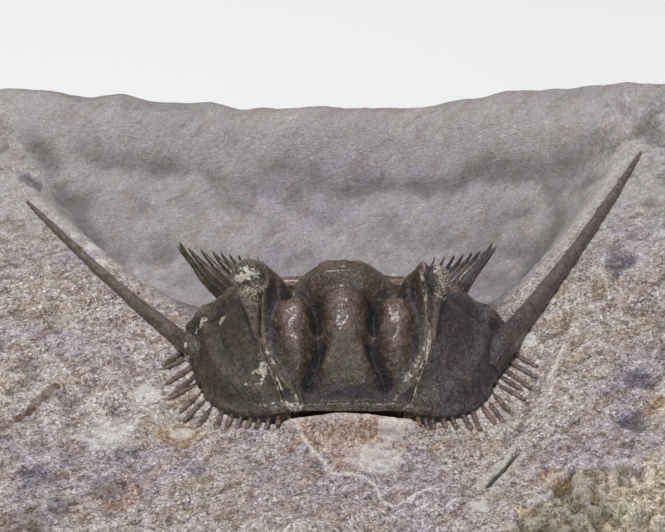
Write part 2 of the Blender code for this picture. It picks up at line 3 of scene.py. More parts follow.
import bpy
import numpy as np
from mathutils import Matrix, Vector, noise


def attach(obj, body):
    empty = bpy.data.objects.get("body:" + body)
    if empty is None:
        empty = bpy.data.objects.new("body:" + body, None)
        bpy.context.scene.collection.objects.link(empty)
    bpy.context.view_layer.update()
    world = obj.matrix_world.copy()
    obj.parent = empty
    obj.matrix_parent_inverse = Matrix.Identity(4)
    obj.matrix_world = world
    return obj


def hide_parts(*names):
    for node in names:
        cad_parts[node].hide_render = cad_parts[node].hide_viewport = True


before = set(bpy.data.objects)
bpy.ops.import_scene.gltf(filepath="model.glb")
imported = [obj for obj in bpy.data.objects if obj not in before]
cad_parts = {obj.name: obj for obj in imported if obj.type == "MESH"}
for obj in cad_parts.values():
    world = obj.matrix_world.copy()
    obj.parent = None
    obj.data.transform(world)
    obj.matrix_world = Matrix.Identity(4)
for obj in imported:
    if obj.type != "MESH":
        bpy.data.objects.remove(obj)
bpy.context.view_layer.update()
print("frame loaded")

# Shapes are worked out in millimetres from the middle of the head's front edge:
# x to the right, y towards the tail, z up. settle() moves a finished piece to the frame, in metres.
headFront = (0.0, -8.0, 12.0)
sides = {"left": -1, "right": 1}  # as seen from in front, with the sign of x there


# Helpers for curves and relief, on single numbers or whole arrays

def ease(low, high, value):  # 0 at low, 1 at high, smooth between; low may be the larger
    share = np.clip((value - low) / (high - low), 0.0, 1.0)
    return share * share * (3.0 - 2.0 * share)


def hump(offset, width):
    return np.exp(-((offset / width) ** 2))


def above(value, level=0.0):  # how far a value lies over a level, or nothing
    return np.maximum(0.0, value - level)


def blend(pair, share):
    return pair[0] + (pair[1] - pair[0]) * share


def along(points, at):  # a smooth curve through (place, value) pairs
    places, values = np.array(points, float).T
    at = np.clip(at, places[0], places[-1])
    i = np.clip(np.searchsorted(places, at, side="right") - 1, 0, len(places) - 2)
    before, after = np.maximum(i - 1, 0), np.minimum(i + 2, len(places) - 1)
    a, b, va, vb = places[i], places[i + 1], values[i], values[i + 1]
    slopeA = (vb - values[before]) / (b - places[before])
    slopeB = (values[after] - va) / (places[after] - a)
    t = (at - a) / (b - a)
    rise = (b - a) * (slopeA * (t**3 - 2 * t**2 + t) + slopeB * (t**3 - t**2))
    return va + (vb - va) * (3 * t**2 - 2 * t**3) + rise


def noiseAt(points, scale, octaves=1, offset=0.0):  # soft noise about 0, one value per point
    places = [Vector(p) * scale + Vector((0, 0, offset)) for p in points]
    if octaves == 1:
        return np.array([noise.noise(place) for place in places])
    return np.array([noise.fractal(place, 0.9, 2.1, octaves) for place in places])


def signedDistance(x, y, *routes, most=1e9):  # distance in plan from bent lines, below nothing on their left
    nearest = np.full(np.shape(x), most)
    for route in routes:
        for (ax, ay), (bx, by) in zip(route, route[1:]):
            dx, dy = bx - ax, by - ay
            t = np.clip(((x - ax) * dx + (y - ay) * dy) / (dx * dx + dy * dy), 0, 1)
            away = np.hypot(x - ax - t * dx, y - ay - t * dy)
            away = np.where((x - ax) * dy - (y - ay) * dx < 0, -away, away)
            nearest = np.where(np.abs(away) < np.abs(nearest), away, nearest)
    return nearest


def lineDistance(x, y, *routes):
    return np.abs(signedDistance(x, y, *routes))


# Helpers for meshes

def selectOnly(*objects):
    bpy.ops.object.select_all(action="DESELECT")
    for obj in objects:
        obj.select_set(True)
    bpy.context.view_layer.objects.active = objects[0]


def addSheet(name, columns, rows):  # a flat grid from -1 to 1 both ways, ready to be shaped
    bpy.ops.object.select_all(action="DESELECT")
    bpy.ops.mesh.primitive_grid_add(x_subdivisions=columns, y_subdivisions=rows, size=2)
    sheet = bpy.context.object
    sheet.name = name
    return sheet


def corners(obj):
    co = np.empty(len(obj.data.vertices) * 3)
    obj.data.vertices.foreach_get("co", co)
    return co.reshape(-1, 3)


def setCorners(obj, co):
    obj.data.vertices.foreach_set("co", np.ascontiguousarray(co, dtype=np.float32).ravel())
    obj.data.update()


def normalsOf(obj):
    normals = np.empty(len(obj.data.vertices) * 3)
    obj.data.vertices.foreach_get("normal", normals)
    return normals.reshape(-1, 3)


def pushOut(obj, amounts):  # moves each corner along its normal
    setCorners(obj, corners(obj) + normalsOf(obj) * np.asarray(amounts)[:, None])


def paint(obj, name, values):  # a number per corner that a material can read
    layer = obj.data.attributes.get(name) or obj.data.attributes.new(name, "FLOAT", "POINT")
    layer.data.foreach_set("value", np.clip(values, 0, 1).astype(np.float32))


def hollowness(obj, rounds):  # how far each corner lies under the smoothed surface
    co, count = corners(obj), len(obj.data.vertices)
    ends = np.empty(len(obj.data.edges) * 2, int)
    obj.data.edges.foreach_get("vertices", ends)
    a, b = ends.reshape(-1, 2).T
    neighbours = (np.bincount(a, minlength=count) + np.bincount(b, minlength=count))[:, None]
    smooth = co.copy()
    for _ in range(rounds):
        total = [np.bincount(a, smooth[b, k], count) + np.bincount(b, smooth[a, k], count) for k in range(3)]
        smooth = 0.5 * smooth + 0.5 * np.stack(total, 1) / neighbours
    return ((smooth - co) * normalsOf(obj)).sum(1)


def editOpenEdges(obj):
    selectOnly(obj)
    bpy.ops.object.mode_set(mode="EDIT")
    bpy.ops.mesh.select_mode(type="EDGE")
    bpy.ops.mesh.select_all(action="DESELECT")
    bpy.ops.mesh.select_non_manifold()


def endEdit():  # with every face turned outwards
    bpy.ops.mesh.select_all(action="SELECT")
    bpy.ops.mesh.normals_make_consistent(inside=False)
    bpy.ops.object.mode_set(mode="OBJECT")


def closeUnder(obj, rings, level):  # rolls the sheet's edge under and closes it with a flat base
    editOpenEdges(obj)
    middle = corners(obj).mean(0)
    for drop, shrink in rings:
        bpy.ops.mesh.extrude_region_move(TRANSFORM_OT_translate={"value": (0, 0, -drop)})
        bpy.ops.transform.resize(value=(shrink, shrink, 1), center_override=tuple(middle))
    bpy.ops.mesh.extrude_region_move()
    bpy.ops.transform.resize(value=(1, 1, 0), center_override=(0, 0, level))
    bpy.ops.mesh.edge_face_add()
    endEdit()


def addSpine(name, path, radii, roundness=3):  # a tapering spine along a path
    curve = bpy.data.curves.new(name, "CURVE")
    curve.dimensions = "3D"
    curve.bevel_depth = 1.0
    curve.bevel_resolution = roundness
    curve.use_fill_caps = True
    line = curve.splines.new("POLY")
    line.points.add(len(path) - 1)
    for point, place, radius in zip(line.points, path, radii):
        point.co = (*place, 1.0)
        point.radius = radius
    spine = bpy.data.objects.new(name, curve)
    bpy.context.collection.objects.link(spine)
    selectOnly(spine)
    bpy.ops.object.convert(target="MESH")
    return bpy.context.object


def applyModifier(obj, kind, **settings):
    selectOnly(obj)
    modifier = obj.modifiers.new(kind.lower(), kind)
    for key, value in settings.items():
        setattr(modifier, key, value)
    bpy.ops.object.modifier_apply(modifier=modifier.name)


def fuse(obj, others, voxel, smoothing):  # grows the parts together as one skin
    selectOnly(obj, *others)
    bpy.ops.object.join()
    applyModifier(obj, "REMESH", mode="VOXEL", voxel_size=voxel, adaptivity=0.0)
    applyModifier(obj, "SMOOTH", factor=0.5, iterations=smoothing)


def settle(obj, material, slot, *nodes):  # puts a finished piece in the frame
    obj.data.transform(Matrix.Scale(0.001, 4) @ Matrix.Translation(headFront))
    obj.data.materials.clear()
    obj.data.materials.append(material)
    selectOnly(obj)
    bpy.ops.object.shade_smooth()
    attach(obj, "root")
    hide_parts(*nodes)
    print("finished", obj.name, len(obj.data.polygons), "faces")


# Head shield

head = {
    "length": 6.9,
    "halfWidth": 8.0,
    "frontHalfWidth": 7.35,
    "outlinePower": 4.0,
    "dome": 3.5,
    "rearLift": 0.5,
    "cheekDroop": 0.4,
    "underside": -1.0,
    "suture": [(0.0, 2.55), (0.3, 2.9), (0.95, 3.28), (1.6, 3.65), (2.5, 4.0), (3.3, 4.08), (4.1, 3.9),
               (5.0, 3.8), (5.8, 4.4), (6.9, 5.5)],  # (y, x)
    "sutureGap": 0.012,
    "cheekFrontX": 3.6,
    "frontLift": 0.14,  # arch of the front edge in the middle
    "lobeHalfWidth": 1.25,
    "lobeFlare": 1.3,
    "lobeHeight": 0.6,
    "sideLobes": [(2.48, 3.4, 1.3, 1.5, 0.82), (2.6, 1.9, 1.15, 1.1, 0.5)],  # x, y, half sizes and height
    "furrows": [  # depth and width, how dark and how wide its painted shade is, and its line in (x, y)
        {"relief": (0.85, 0.34), "paint": (0.62, 0.25), "line": [(1.44, 4.8), (1.38, 4.1), (1.4, 3.3)]},
        {"relief": (0.85, 0.34), "paint": (0.62, 0.25), "line": [(1.2, 2.5), (1.45, 1.95), (1.85, 1.3)]},
        {"relief": (0.16, 0.24), "paint": (0.22, 0.18), "line": [(1.4, 2.7), (2.2, 2.6)]},
        {"relief": (0.16, 0.24), "paint": (0.22, 0.18), "line": [(1.7, 5.0), (2.6, 4.9)]},
        {"relief": (0.42, 0.42), "paint": (0.25, 0.36),
         "line": [(1.5, 1.05), (2.3, 1.0), (3.0, 1.5), (3.48, 2.4), (3.58, 3.4), (3.35, 4.4), (2.6, 5.15),
                  (2.1, 5.3)]},
    ],
    "sideRidge": [(2.4, 0.6), (3.1, 1.05), (3.6, 1.9), (3.88, 2.8), (3.92, 3.8), (3.75, 4.6)],  # (x, y)
    "ringTop": 0.8,
    "ringHalfWidth": 0.8,  # its flat top, before the sides slope down
    "ringSlope": 0.8,
    "shoulder": 0.85,
    "lean": 0.05,  # how far the animal leans to its right, per millimetre of height
    "eyeX": 4.7,
    "eyeY": 4.6,
    "eyeStalk": 2.2,
    "eyeFoot": 1.1,
}


def halfWidth(y):
    share = np.clip(y / head["length"], 0.0, 1.0)
    return blend((head["frontHalfWidth"], head["halfWidth"]), share**2)


def edgeShare(x, y):  # 0 in the middle of the head's rear edge, 1 on its outer edge
    side = np.abs(x) / halfWidth(y)
    ahead = above(head["length"], y) / head["length"]
    power = head["outlinePower"]
    return (side**power + ahead**power) ** (1.0 / power)


def outlineY(x):  # where the head's front edge lies at this x
    power = head["outlinePower"]
    share = np.minimum(1.0, np.abs(x) / head["frontHalfWidth"])
    return head["length"] * (1 - (1 - share**power) ** (1 / power))


def headEdge(firstX, shares):  # points of the right edge, from x = firstX at the front to the rear corner
    angle = np.linspace(1, 0, 401) * math.pi / 2
    power = 2.0 / head["outlinePower"]
    y = head["length"] * (1.0 - np.sin(angle) ** power)
    x = halfWidth(y) * above(np.cos(angle)) ** power
    x, y = x[x >= firstX], y[x >= firstX]
    length = np.concatenate([[0], np.cumsum(np.hypot(np.diff(x), np.diff(y)))])
    at = np.asarray(shares) * length[-1]
    return np.interp(at, length, x), np.interp(at, length, y)


def rimLevel(x, y):
    droop = head["cheekDroop"] * ease(2.6, 5.0, np.abs(x)) * ease(6.0, 1.5, y)
    lift = head["frontLift"] * ease(3.4, 2.3, np.abs(x)) * ease(2.4, 0.4, y)
    return head["rearLift"] * ease(1.0, head["length"], y) + lift - droop


def furrowsAt(side, y, kind):  # how strong each furrow is there, in the relief or in the painted shade
    for furrow in head["furrows"]:
        most, width = furrow[kind]
        yield most * hump(lineDistance(side, y, furrow["line"]), width)


def glabella(side, y):  # middle lobe, side lobes, pits and furrows
    lobeHalf = head["lobeHalfWidth"] + head["lobeFlare"] * ease(2.7, 0.7, y)
    rounded = np.exp(-((side / lobeHalf) ** 2) ** 1.2)
    relief = head["lobeHeight"] * rounded * ease(0.2, 2.6, y) * ease(6.2, 4.4, y)
    relief = relief + 0.2 * np.exp(-((side / 0.7) ** 2)) * hump(y - 3.8, 1.2)
    for xAt, yAt, xHalf, yHalf, height in head["sideLobes"]:
        relief = relief + height * ease(1.3, 0.1, np.hypot((side - xAt) / xHalf, (y - yAt) / yHalf))
    for furrow in furrowsAt(side, y, "relief"):
        relief = relief - furrow
    relief = relief - 0.2 * hump(side - 1.46, 0.5) * ease(1.4, 2.2, y) * ease(5.4, 4.9, y)
    return relief + 0.2 * hump(lineDistance(side, y, head["sideRidge"]), 0.3)


def occipital(side, y):  # the ring at the rear of the middle lobe, and the border beside it
    slope = np.hypot(above(side, head["ringHalfWidth"]), 0.22) - 0.22
    ring = (head["ringTop"] - head["ringSlope"] * slope) * ease(4.95, 5.75, y) * ease(2.95, 2.5, side)
    ring = ring - 0.35 * ease(6.4, head["length"], y) * ease(2.6, 0.9, side)
    ring = ring + 0.12 * hump(side, 0.26) * hump(y - 6.2, 0.26)
    ring = ring - 0.07 * hump(y - 5.75, 0.12) * ease(1.5, 1.0, side)
    furrow = 0.15 * hump(y - 5.05, 0.32) * ease(2.2, 1.5, side)
    shoulder = head["shoulder"] * hump(y - 5.35, 0.6) * ease(2.3, 3.3, side) * ease(4.7, 3.7, side)
    fold = 0.1 * np.cos((side - 3.05) * 11.0) * hump(side - 3.1, 0.45) * hump(y - 4.95, 0.4)
    fall = 0.75 * hump(side - 3.6, 1.2) * ease(5.7, 6.7, y)
    border = 0.22 * ease(6.15, 6.5, y) - 0.18 * hump(y - 5.95, 0.3)
    return ring - furrow + shoulder + fold - fall + border * ease(3.8, 4.6, side)


def eyeRise(side, y):  # the stalk under the eye
    reach = np.hypot(side - head["eyeX"] + 0.1, (y - head["eyeY"]) * 1.05)
    inner = ease(head["eyeX"], head["eyeX"] - 0.95, side)
    return head["eyeFoot"] * hump(reach, 0.85) + head["eyeStalk"] * hump(reach, 1.1) * inner


def borderRoll(x, y):
    inside = (1.0 - edgeShare(x, y)) * head["halfWidth"]
    outer = ease(3.2, 5.0, np.abs(x))
    front = 0.16 * hump(inside - 0.16, 0.2) - 0.16 * hump(inside - 0.66, 0.36)
    cheek = 0.2 * hump(inside - 0.8, 0.34) - 0.2 * hump(inside - 1.6, 0.5) + 0.1 * hump(inside - 0.1, 0.14)
    return front + (cheek - front) * outer


def headHeight(x, y):
    side = np.abs(x)
    power = 2.5 + 0.8 * ease(2.4, 4.8, side)
    dome = head["dome"] * (1.0 - np.minimum(1.0, edgeShare(x, y)) ** power)
    relief = eyeRise(side, y) + borderRoll(x, y) + occipital(side, y)
    relief += glabella(side, y) * ease(4.4, 4.2, side)
    return rimLevel(x, y) + dome + relief


def rowPlace(share):  # rows lie closer together at the front and rear
    return head["length"] * (0.65 * share + 0.35 * ease(0.0, 1.0, share))


def finishShell(obj, grain, extra=0.0):  # the fossil's uneven surface, fine and coarse, and its paint
    co = corners(obj)
    pushOut(obj, grain[0] * noiseAt(co, 7.0, 3) + grain[1] * noiseAt(co, 1.6, 2, 11.0) + extra)
    paintShell(obj)
    return obj


def leanOver(obj):  # the animal lies slightly tilted in the rock
    co = corners(obj)
    co[:, 0] -= head["lean"] * above(co[:, 2], 0.6) * ease(7.6, 6.2, np.abs(co[:, 0]))
    setCorners(obj, co)
    return obj


cranidium = {"columns": 240, "rows": 200, "grain": (0.015, 0.035), "wrinkles": 0.07, "lumps": 0.09}


def makeCranidium():
    shell = addSheet("cranidiumShell", cranidium["columns"], cranidium["rows"])
    s, t = corners(shell).T[:2]
    y = rowPlace((t + 1) / 2)
    x = (along(head["suture"], y) - head["sutureGap"] / 2) * s
    y = np.maximum(y, outlineY(x))
    setCorners(shell, np.stack([x, y, headHeight(x, y)], 1))
    sheetSize = len(s)
    closeUnder(shell, [(0.05, 0.999), (0.13, 0.994), (0.22, 0.985)], head["underside"])
    co = corners(shell)
    side, y = np.abs(co[:, 0]), co[:, 1].copy()
    under = (np.arange(len(co)) >= sheetSize) * ease(1.0, 0.2, y) * (1 - ease(1.9, 2.8, side))
    co[:, 1] += 0.3 * under * ease(0.2, -0.1, co[:, 2])
    setCorners(shell, co)
    y = co[:, 1]
    wrinkled = hump(side, 0.75) * hump(y - 3.7, 1.1) + 0.5 * hump(side - 2.4, 0.8) * hump(y - 3.2, 1.2)
    swollen = hump(side - 2.5, 0.7) * ease(1.2, 1.9, y) * ease(5.0, 4.2, y)
    lumps = cranidium["lumps"] * swollen * noiseAt(co, 1.25, 2, 8.0)
    lumps = lumps - cranidium["wrinkles"] * wrinkled * np.abs(noiseAt(co, 2.3, 3, 4.0))
    return leanOver(finishShell(shell, cranidium["grain"], lumps))


cheeks = {"columns": 120, "rows": 130, "voxel": 0.055, "smoothing": 2, "grain": (0.013, 0.03)}

eyes = {
    "left": {"x": 4.55, "top": 5.85, "radius": 0.84, "tallness": 1.08, "neck": (0.78, 0.6, 0.34, 0.12)},
    "right": {"x": 4.55, "top": 5.55, "radius": 0.7, "tallness": 1.25, "neck": (0.5, 0.34, 0.2, 0.1)},
}


def cheekSheet(side, sign):
    sheet = addSheet("freeCheek" + side.capitalize(), cheeks["columns"], cheeks["rows"])
    share, row = (corners(sheet).T[:2] + 1) / 2
    innerY = rowPlace(row)
    innerX = along(head["suture"], innerY) + head["sutureGap"] / 2
    innerY = np.maximum(innerY, outlineY(innerX))
    outerX, outerY = headEdge(head["cheekFrontX"], row)
    out = 0.55 * share + 0.45 * np.sin(share * math.pi / 2)
    x, y = innerX + (outerX - innerX) * out, innerY + (outerY - innerY) * out
    y = np.maximum(y, outlineY(np.minimum(x, head["frontHalfWidth"] - 0.2)))
    setCorners(sheet, np.stack([sign * x, y, headHeight(x, y)], 1))
    closeUnder(sheet, [(0.03, 0.999), (0.15, 0.985)], head["underside"])
    return sheet


def addEye(side, sign):
    eye = eyes[side]
    tall = eye["radius"] * eye["tallness"]
    centre = Vector((sign * eye["x"], head["eyeY"], eye["top"] - tall))
    bpy.ops.object.select_all(action="DESELECT")
    bpy.ops.mesh.primitive_uv_sphere_add(segments=40, ring_count=24, radius=1, location=centre,
                                         scale=(eye["radius"], eye["radius"], tall))
    ball = bpy.context.object
    foot = Vector((sign * 4.28, 2.95, headHeight(4.28, 2.95) - 0.05))
    path = [centre.lerp(foot, share) + Vector((0, 0, 0.12 * math.sin(share * math.pi)))
            for share in (0, 0.3, 0.65, 1)]
    return [ball, addSpine("eyeNeck", path, eye["neck"], 4)]


genalSpines = {
    "left": {"tip": (-16.5, 17.4), "radii": (0.52, 0.36, 0.26, 0.21, 0.1)},
    "right": {"tip": (15.5, 21.6), "radii": (0.66, 0.47, 0.34, 0.25, 0.12)},
    "root": (7.4, 5.2),
    "bow": 0.25,
    "height": 0.45,  # of the radius, how far its middle lies above the rock
    "flare": 0.35,  # how much thicker it grows into the cheek
}


def genalLine(side):  # where a genal spine's root lies in plan, and the step from there to its tip
    root = np.array([sides[side] * genalSpines["root"][0], genalSpines["root"][1]])
    return root, np.array(genalSpines[side]["tip"]) - root


def addGenalSpine(side):
    shares = np.linspace(-0.08, 1, 70)
    root, line = genalLine(side)
    outward = np.array([line[1], -line[0]]) / np.hypot(*line) * sides[side]
    flat = root + line * shares[:, None] + outward * genalSpines["bow"] * np.sin(math.pi * shares)[:, None]
    x, y = flat.T
    radii = genalSpines[side]["radii"]
    radius = along(list(zip(np.linspace(0, 1, len(radii)), radii)), shares)
    lying = rockHeight(x, y) + radius * genalSpines["height"]
    rooted = rimLevel(x, np.minimum(y, head["length"])) - 0.05 + 0.12 * ease(-0.08, 0.0, shares)
    z = rooted + (lying - rooted) * ease(0.0, 0.14, shares)
    radius = radius * (1.0 + genalSpines["flare"] * ease(0.1, 0.0, shares))
    return addSpine("genalSpine", np.stack([x, y, z], 1), radius, 6)


borderSpines = {
    "count": 15,
    "crowding": 1.22,  # over 1, they stand closer together at the front
    "long": 1.85,
    "short": 0.5,
    "radius": 0.155,
    "lean": math.radians(36),
    "height": 0.03,  # of each spine's middle above the rock
}


def addBorderSpines(sign):
    spines = []
    edgeX, edgeY = headEdge(head["cheekFrontX"] - 0.5, np.linspace(0, 1, 200))
    for k in range(borderSpines["count"]):
        share = ((k + 0.3) / borderSpines["count"]) ** borderSpines["crowding"]
        wobble, turn = [noise.noise(Vector((k * 1.7, sign * 3.1, height))) for height in (0.5, 7.5)]
        at = int(4 + 182 * share + 3 * turn)
        tangent = Vector((edgeX[at + 4] - edgeX[at - 4], edgeY[at + 4] - edgeY[at - 4])).normalized()
        normal = Vector((tangent.y, -tangent.x))
        sideways = float(ease(0.2, 0.9, normal.x))
        ahead = Vector(normal)
        ahead.rotate(Matrix.Rotation(-borderSpines["lean"] * sideways + 0.2 * turn, 2))
        length = blend((borderSpines["short"], borderSpines["long"]), sideways) * (1.0 + 0.35 * wobble)
        path, radii = [], []
        for out in np.linspace(0, 1, 11):
            reach = -0.3 + (length + 0.3) * out
            x = edgeX[at] + ahead.x * reach
            y = edgeY[at] + ahead.y * reach + 0.28 * sideways * (out * out - out)
            rooted = rimLevel(x, y) - 0.2
            resting = rockSurface(x, y) + borderSpines["height"]
            path.append((sign * x, y, float(rooted + (resting - rooted) * ease(0.1, 0.6, out))))
            radii.append(borderSpines["radius"] * (1.08 - 0.2 * out - 0.3 * ease(0.88, 1.0, out)))
        spines.append(addSpine("borderSpine", path, radii, 4))
    return spines


def makeFreeCheek(side):
    sign = sides[side]
    cheek = cheekSheet(side, sign)
    spines = [addGenalSpine(side)] + addBorderSpines(sign)
    fuse(cheek, addEye(side, sign) + spines, cheeks["voxel"], cheeks["smoothing"])
    return leanOver(finishShell(cheek, cheeks["grain"]))


marks = {
    "chips": [(-7.15, 6.0, 0.24), (-4.05, 1.75, 0.3), (-6.0, 5.2, 0.2), (-6.62, 0.35, 0.3)],  # x, y and size
    "rimLight": [(-8.0, 6.4), (-7.85, 4.6), (-7.62, 2.9), (-7.15, 1.45), (-6.62, 0.75)],  # painted highlight along the left cheek's outer edge
    "eyePatch": [(-4.85, 3.95, 5.3, 0.42), (-4.5, 4.0, 5.5, 0.36), (-4.5, 3.85, 4.7, 0.24)],  # a painted highlight on the front of the left eye: x, y, z, size
    # where the painted highlight runs along the cheeks' rear edge
    "rearRim": 6.72,
}


def furrowShade(side, y):  # painted shade in the cranidium's furrows, and below nothing as painted highlight on its swellings
    deep = 0.0 * side
    for furrow in furrowsAt(side, y, "paint"):
        deep = np.maximum(deep, furrow)
    deep = np.maximum(deep, 0.18 * hump(side - 1.5, 0.34) * ease(1.6, 2.4, y) * ease(5.4, 4.8, y))
    front = 0.3 * hump(y - outlineY(side) - 0.6, 0.25)
    swelling = 0.3 * hump(side, 0.75) * hump(y - 3.8, 1.5) + 0.2 * hump(y - 6.3, 0.5) * ease(1.6, 0.8, side)
    for xAt, yAt, xHalf, yHalf, height in head["sideLobes"]:
        swelling = swelling + 0.5 * height * ease(1.0, 0.1, np.hypot((side - xAt) / xHalf, (y - yAt) / yHalf))
    swelling += 0.35 * hump(lineDistance(side, y, head["sideRidge"]), 0.16)
    return np.maximum(deep, front) - swelling


def paintShell(obj):  # numbers that the shell material reads
    co = corners(obj)
    x, y, z = co.T
    flake = noiseAt(co, 3.4, 3, 5.0)
    wavy = noiseAt(co, 1.3, 2, 3.0)
    isMiddle = obj.name.startswith("cranidium")
    # the furrow number: painted shade in the furrows and hollows, below a half painted highlight on the
    # swellings, and on the thorax more towards the outer ends
    hollow = furrowShade(np.abs(x), y) if isMiddle else hollowness(obj, 160) / 0.4
    isThorax = obj.name.startswith("thorax")
    paint(obj, "furrow", 0.5 + hollow + isThorax * 0.25 * ease(4.4, 5.4, np.abs(x)))
    paint(obj, "crest", -hollowness(obj, 8) / (0.15 if isThorax else 0.02))
    eyeball, glassy, bright = np.zeros(len(co)), np.zeros(len(co)), np.zeros(len(co))
    for side, eye in eyes.items():
        wide, tall = eye["radius"], eye["radius"] * eye["tallness"]
        reach = np.sqrt(((x - sides[side] * eye["x"]) / wide) ** 2 + ((y - head["eyeY"]) / wide) ** 2
                        + ((z - eye["top"] + tall) / tall) ** 2)
        ball = ease(1.25, 1.12, reach)
        if side == "left":
            neck = lineDistance(x, z, [(-4.6, 4.6), (-4.35, 3.1)]) - 0.12 * (z - 3.0)
            neck = 0.6 * ease(0.34, 0.12, neck + 0.2 * wavy) * ease(3.3, 4.4, z + 0.6 * flake)
            neck = neck * (y < 5.2) * (y > 2.8)
            top = ease(4.95, 5.25, z + 0.25 * wavy)
            eyeball = np.maximum(eyeball, np.maximum(ball, neck) * (1 - 0.5 * top))
            glassy = np.maximum(glassy, 0.6 * ball * top)
        else:
            outer = ease(-0.25, 0.0, x - eye["x"] + 0.25 * wavy)
            eyeball = np.maximum(eyeball, ball * outer)
            glassy = np.maximum(glassy, ball * (1 - outer) * 0.6)
    # painted highlight on the front of the left eye
    for xAt, yAt, zAt, size in marks["eyePatch"]:
        near = np.sqrt((x - xAt) ** 2 + (y - yAt) ** 2 + (z - zAt) ** 2) + 0.5 * flake
        bright = np.maximum(bright, 0.75 * ease(size, size * 0.5, near))
    for xAt, yAt, size in marks["chips"]:
        near = np.hypot(x - xAt, y - yAt) + 1.4 * flake * size
        bright = np.maximum(bright, 0.62 * ease(size, size * 0.7, near) * (z > -0.3))
    isCheek = obj.name.startswith("freeCheek")
    broken = ease(0.0, 0.3, noiseAt(co, 2.3, 2, 19.0) + 0.22)
    width = 0.035 + 0.05 * above(wavy)
    fromSuture = np.abs(np.abs(x) - along(head["suture"], y))
    line = ease(width + 0.05, width, fromSuture) * broken
    pale = line * (x > 0) * ease(0.2, 0.8, y) * ease(5.0, 4.2, y) * 0.9
    pale = np.maximum(pale, ease(0.14, 0.06, fromSuture) * broken * (x < 0) * (z > 0.1) * ease(1.5, 0.9, y))
    if isCheek:
        # painted highlight along the left cheek's outer edge, with gaps
        rim = lineDistance(x, y, marks["rimLight"]) + 0.14 * noiseAt(co, 2.0, 2, 9.0)
        pale = np.maximum(pale, ease(0.1, 0.05, rim) * ease(-0.1, 0.05, z) * broken)
        # painted highlight along the rear edge of the cheeks
        rear = ease(0.12, 0.05, np.abs(y - marks["rearRim"])) * ease(5.0, 5.4, np.abs(x))
        pale = np.maximum(pale, 0.5 * rear * broken * (np.abs(x) < 7.4))
    else:
        front = ease(0.16, 0.08, np.abs(y - outlineY(x) - 0.08)) * ease(-1.2, -2.2, x) * (y < 0.4) * (z > 0.1)
        pale = np.maximum(pale, 0.6 * front * broken)
    paint(obj, "eyeball", eyeball)
    paint(obj, "glassy", glassy)
    # pale chips, suture and front edge lines, and the painted highlights on the cheeks' rims and the left eye
    paint(obj, "bright", np.maximum(bright, 0.85 * pale))
    spines = ease(0.06, 0.22, edgeShare(x, np.minimum(y, head["length"])) - 1.0)
    paint(obj, "dusty", spines * blend((0.2, 0.42), ease(5.5, 7.5, y)) * isCheek)


# Thorax

thorax = {
    "segments": 10,
    "gap": 0.1,
    "crest": [(7.2, 4.35), (9.0, 3.25), (11.0, 1.95), (13.0, 0.65), (15.0, -0.45), (17.0, -1.25),
              (19.0, -1.7)],  # (y, z)
    "start": 7.25,
    "end": 15.1,
    "axisHalfWidth": (1.75, 1.1),
    "pleuraHalfWidth": (5.6, 3.3),
    "ringHeight": (0.85, 0.5),
    "pleuraDrop": (1.05, 0.7),
    "halfThickness": 0.26,
    "spineLength": (3.3, 3.4),
    "spineTurn": (math.radians(28), math.radians(78)),
    "spineLift": (math.radians(58), math.radians(4)),
    "spineSink": 0.6,
    "spineRadius": 0.33,
    "leftSpread": 0.15,  # how much further out the first spines on the left reach
    "columns": 150,
    "around": 28,
    "grain": (0.01, 0.02),
}

sections = {  # outline of a segment from front to rear, as shares of its half length and half thickness
    "ring": [(-1.0, -1.0), (-1.0, 0.25), (-0.45, 0.85), (0.3, 1.0), (0.9, 0.6), (1.0, -0.4), (0.5, -1.0)],
    "pleura": [(-1.0, -1.0), (-1.0, 0.35), (-0.5, 0.6), (-0.1, 0.1), (0.5, 1.0), (1.0, 0.1), (0.6, -1.0)],
    "spine": [(-math.cos(a), math.sin(a)) for a in (2 * math.pi * k / 7 - 0.9 for k in range(7))],
}


def crestFrame(y):  # a point of the thorax's crest, the direction along it and the direction out of it
    ahead = np.array([0.0, 0.4, along(thorax["crest"], y + 0.2) - along(thorax["crest"], y - 0.2)])
    ahead = ahead / np.linalg.norm(ahead)
    return np.array([0.0, y, along(thorax["crest"], y)]), ahead, np.array([0.0, -ahead[2], ahead[1]])


def segmentStations(share):  # from the middle outwards: across, back, drop, half length and half thickness
    axis, pleura = blend(thorax["axisHalfWidth"], share), blend(thorax["pleuraHalfWidth"], share)
    ring, drop = blend(thorax["ringHeight"], share), blend(thorax["pleuraDrop"], share)
    length = (thorax["end"] - thorax["start"]) / thorax["segments"] / 2 * 1.17 - thorax["gap"] / 2
    thick = thorax["halfThickness"]
    reach = pleura - axis
    stations = [
        (0.0, 0.0, 0.0, length, thick),  # three on the ring
        (axis * 0.55, 0.0, ring * 0.16, length, thick),
        (axis * 0.93, 0.0, ring * 0.7, length, thick),
        (axis + reach * 0.08, 0.0, ring, length, thick),  # four on the pleura
        (axis + reach * 0.45, 0.0, ring + drop * 0.12, length, thick),
        (axis + reach * 0.8, 0.05, ring + drop * 0.55, length * 0.94, thick * 0.95),
        (pleura, 0.12, ring + drop, length * 0.62, thick * 0.8),
    ]
    turn, lift = blend(thorax["spineTurn"], share), blend(thorax["spineLift"], share ** thorax["spineSink"])
    out, back, low = pleura, 0.12, ring + drop
    for k in range(1, 4):
        bend = turn * (0.55 + 0.45 * k / 3)
        stride = blend(thorax["spineLength"], share) / 3
        out += stride * math.cos(bend) * math.cos(lift)
        back += stride * math.sin(bend) * math.cos(lift)
        low -= stride * math.sin(lift)
        radius = thorax["spineRadius"] * (1.0, 0.72, 0.28)[k - 1]
        stations.append((out, back, low, radius, radius))
    return np.array(stations)


def loopPoint(section, turn):  # a place on a section's rounded outline, turn from 0 to 1
    points = np.array(section)
    closed = np.concatenate([points[-2:], points, points[:3]])
    places = np.arange(len(closed)) - 2.0
    at = turn * len(points)
    return along(list(zip(places, closed[:, 0])), at), along(list(zip(places, closed[:, 1])), at)


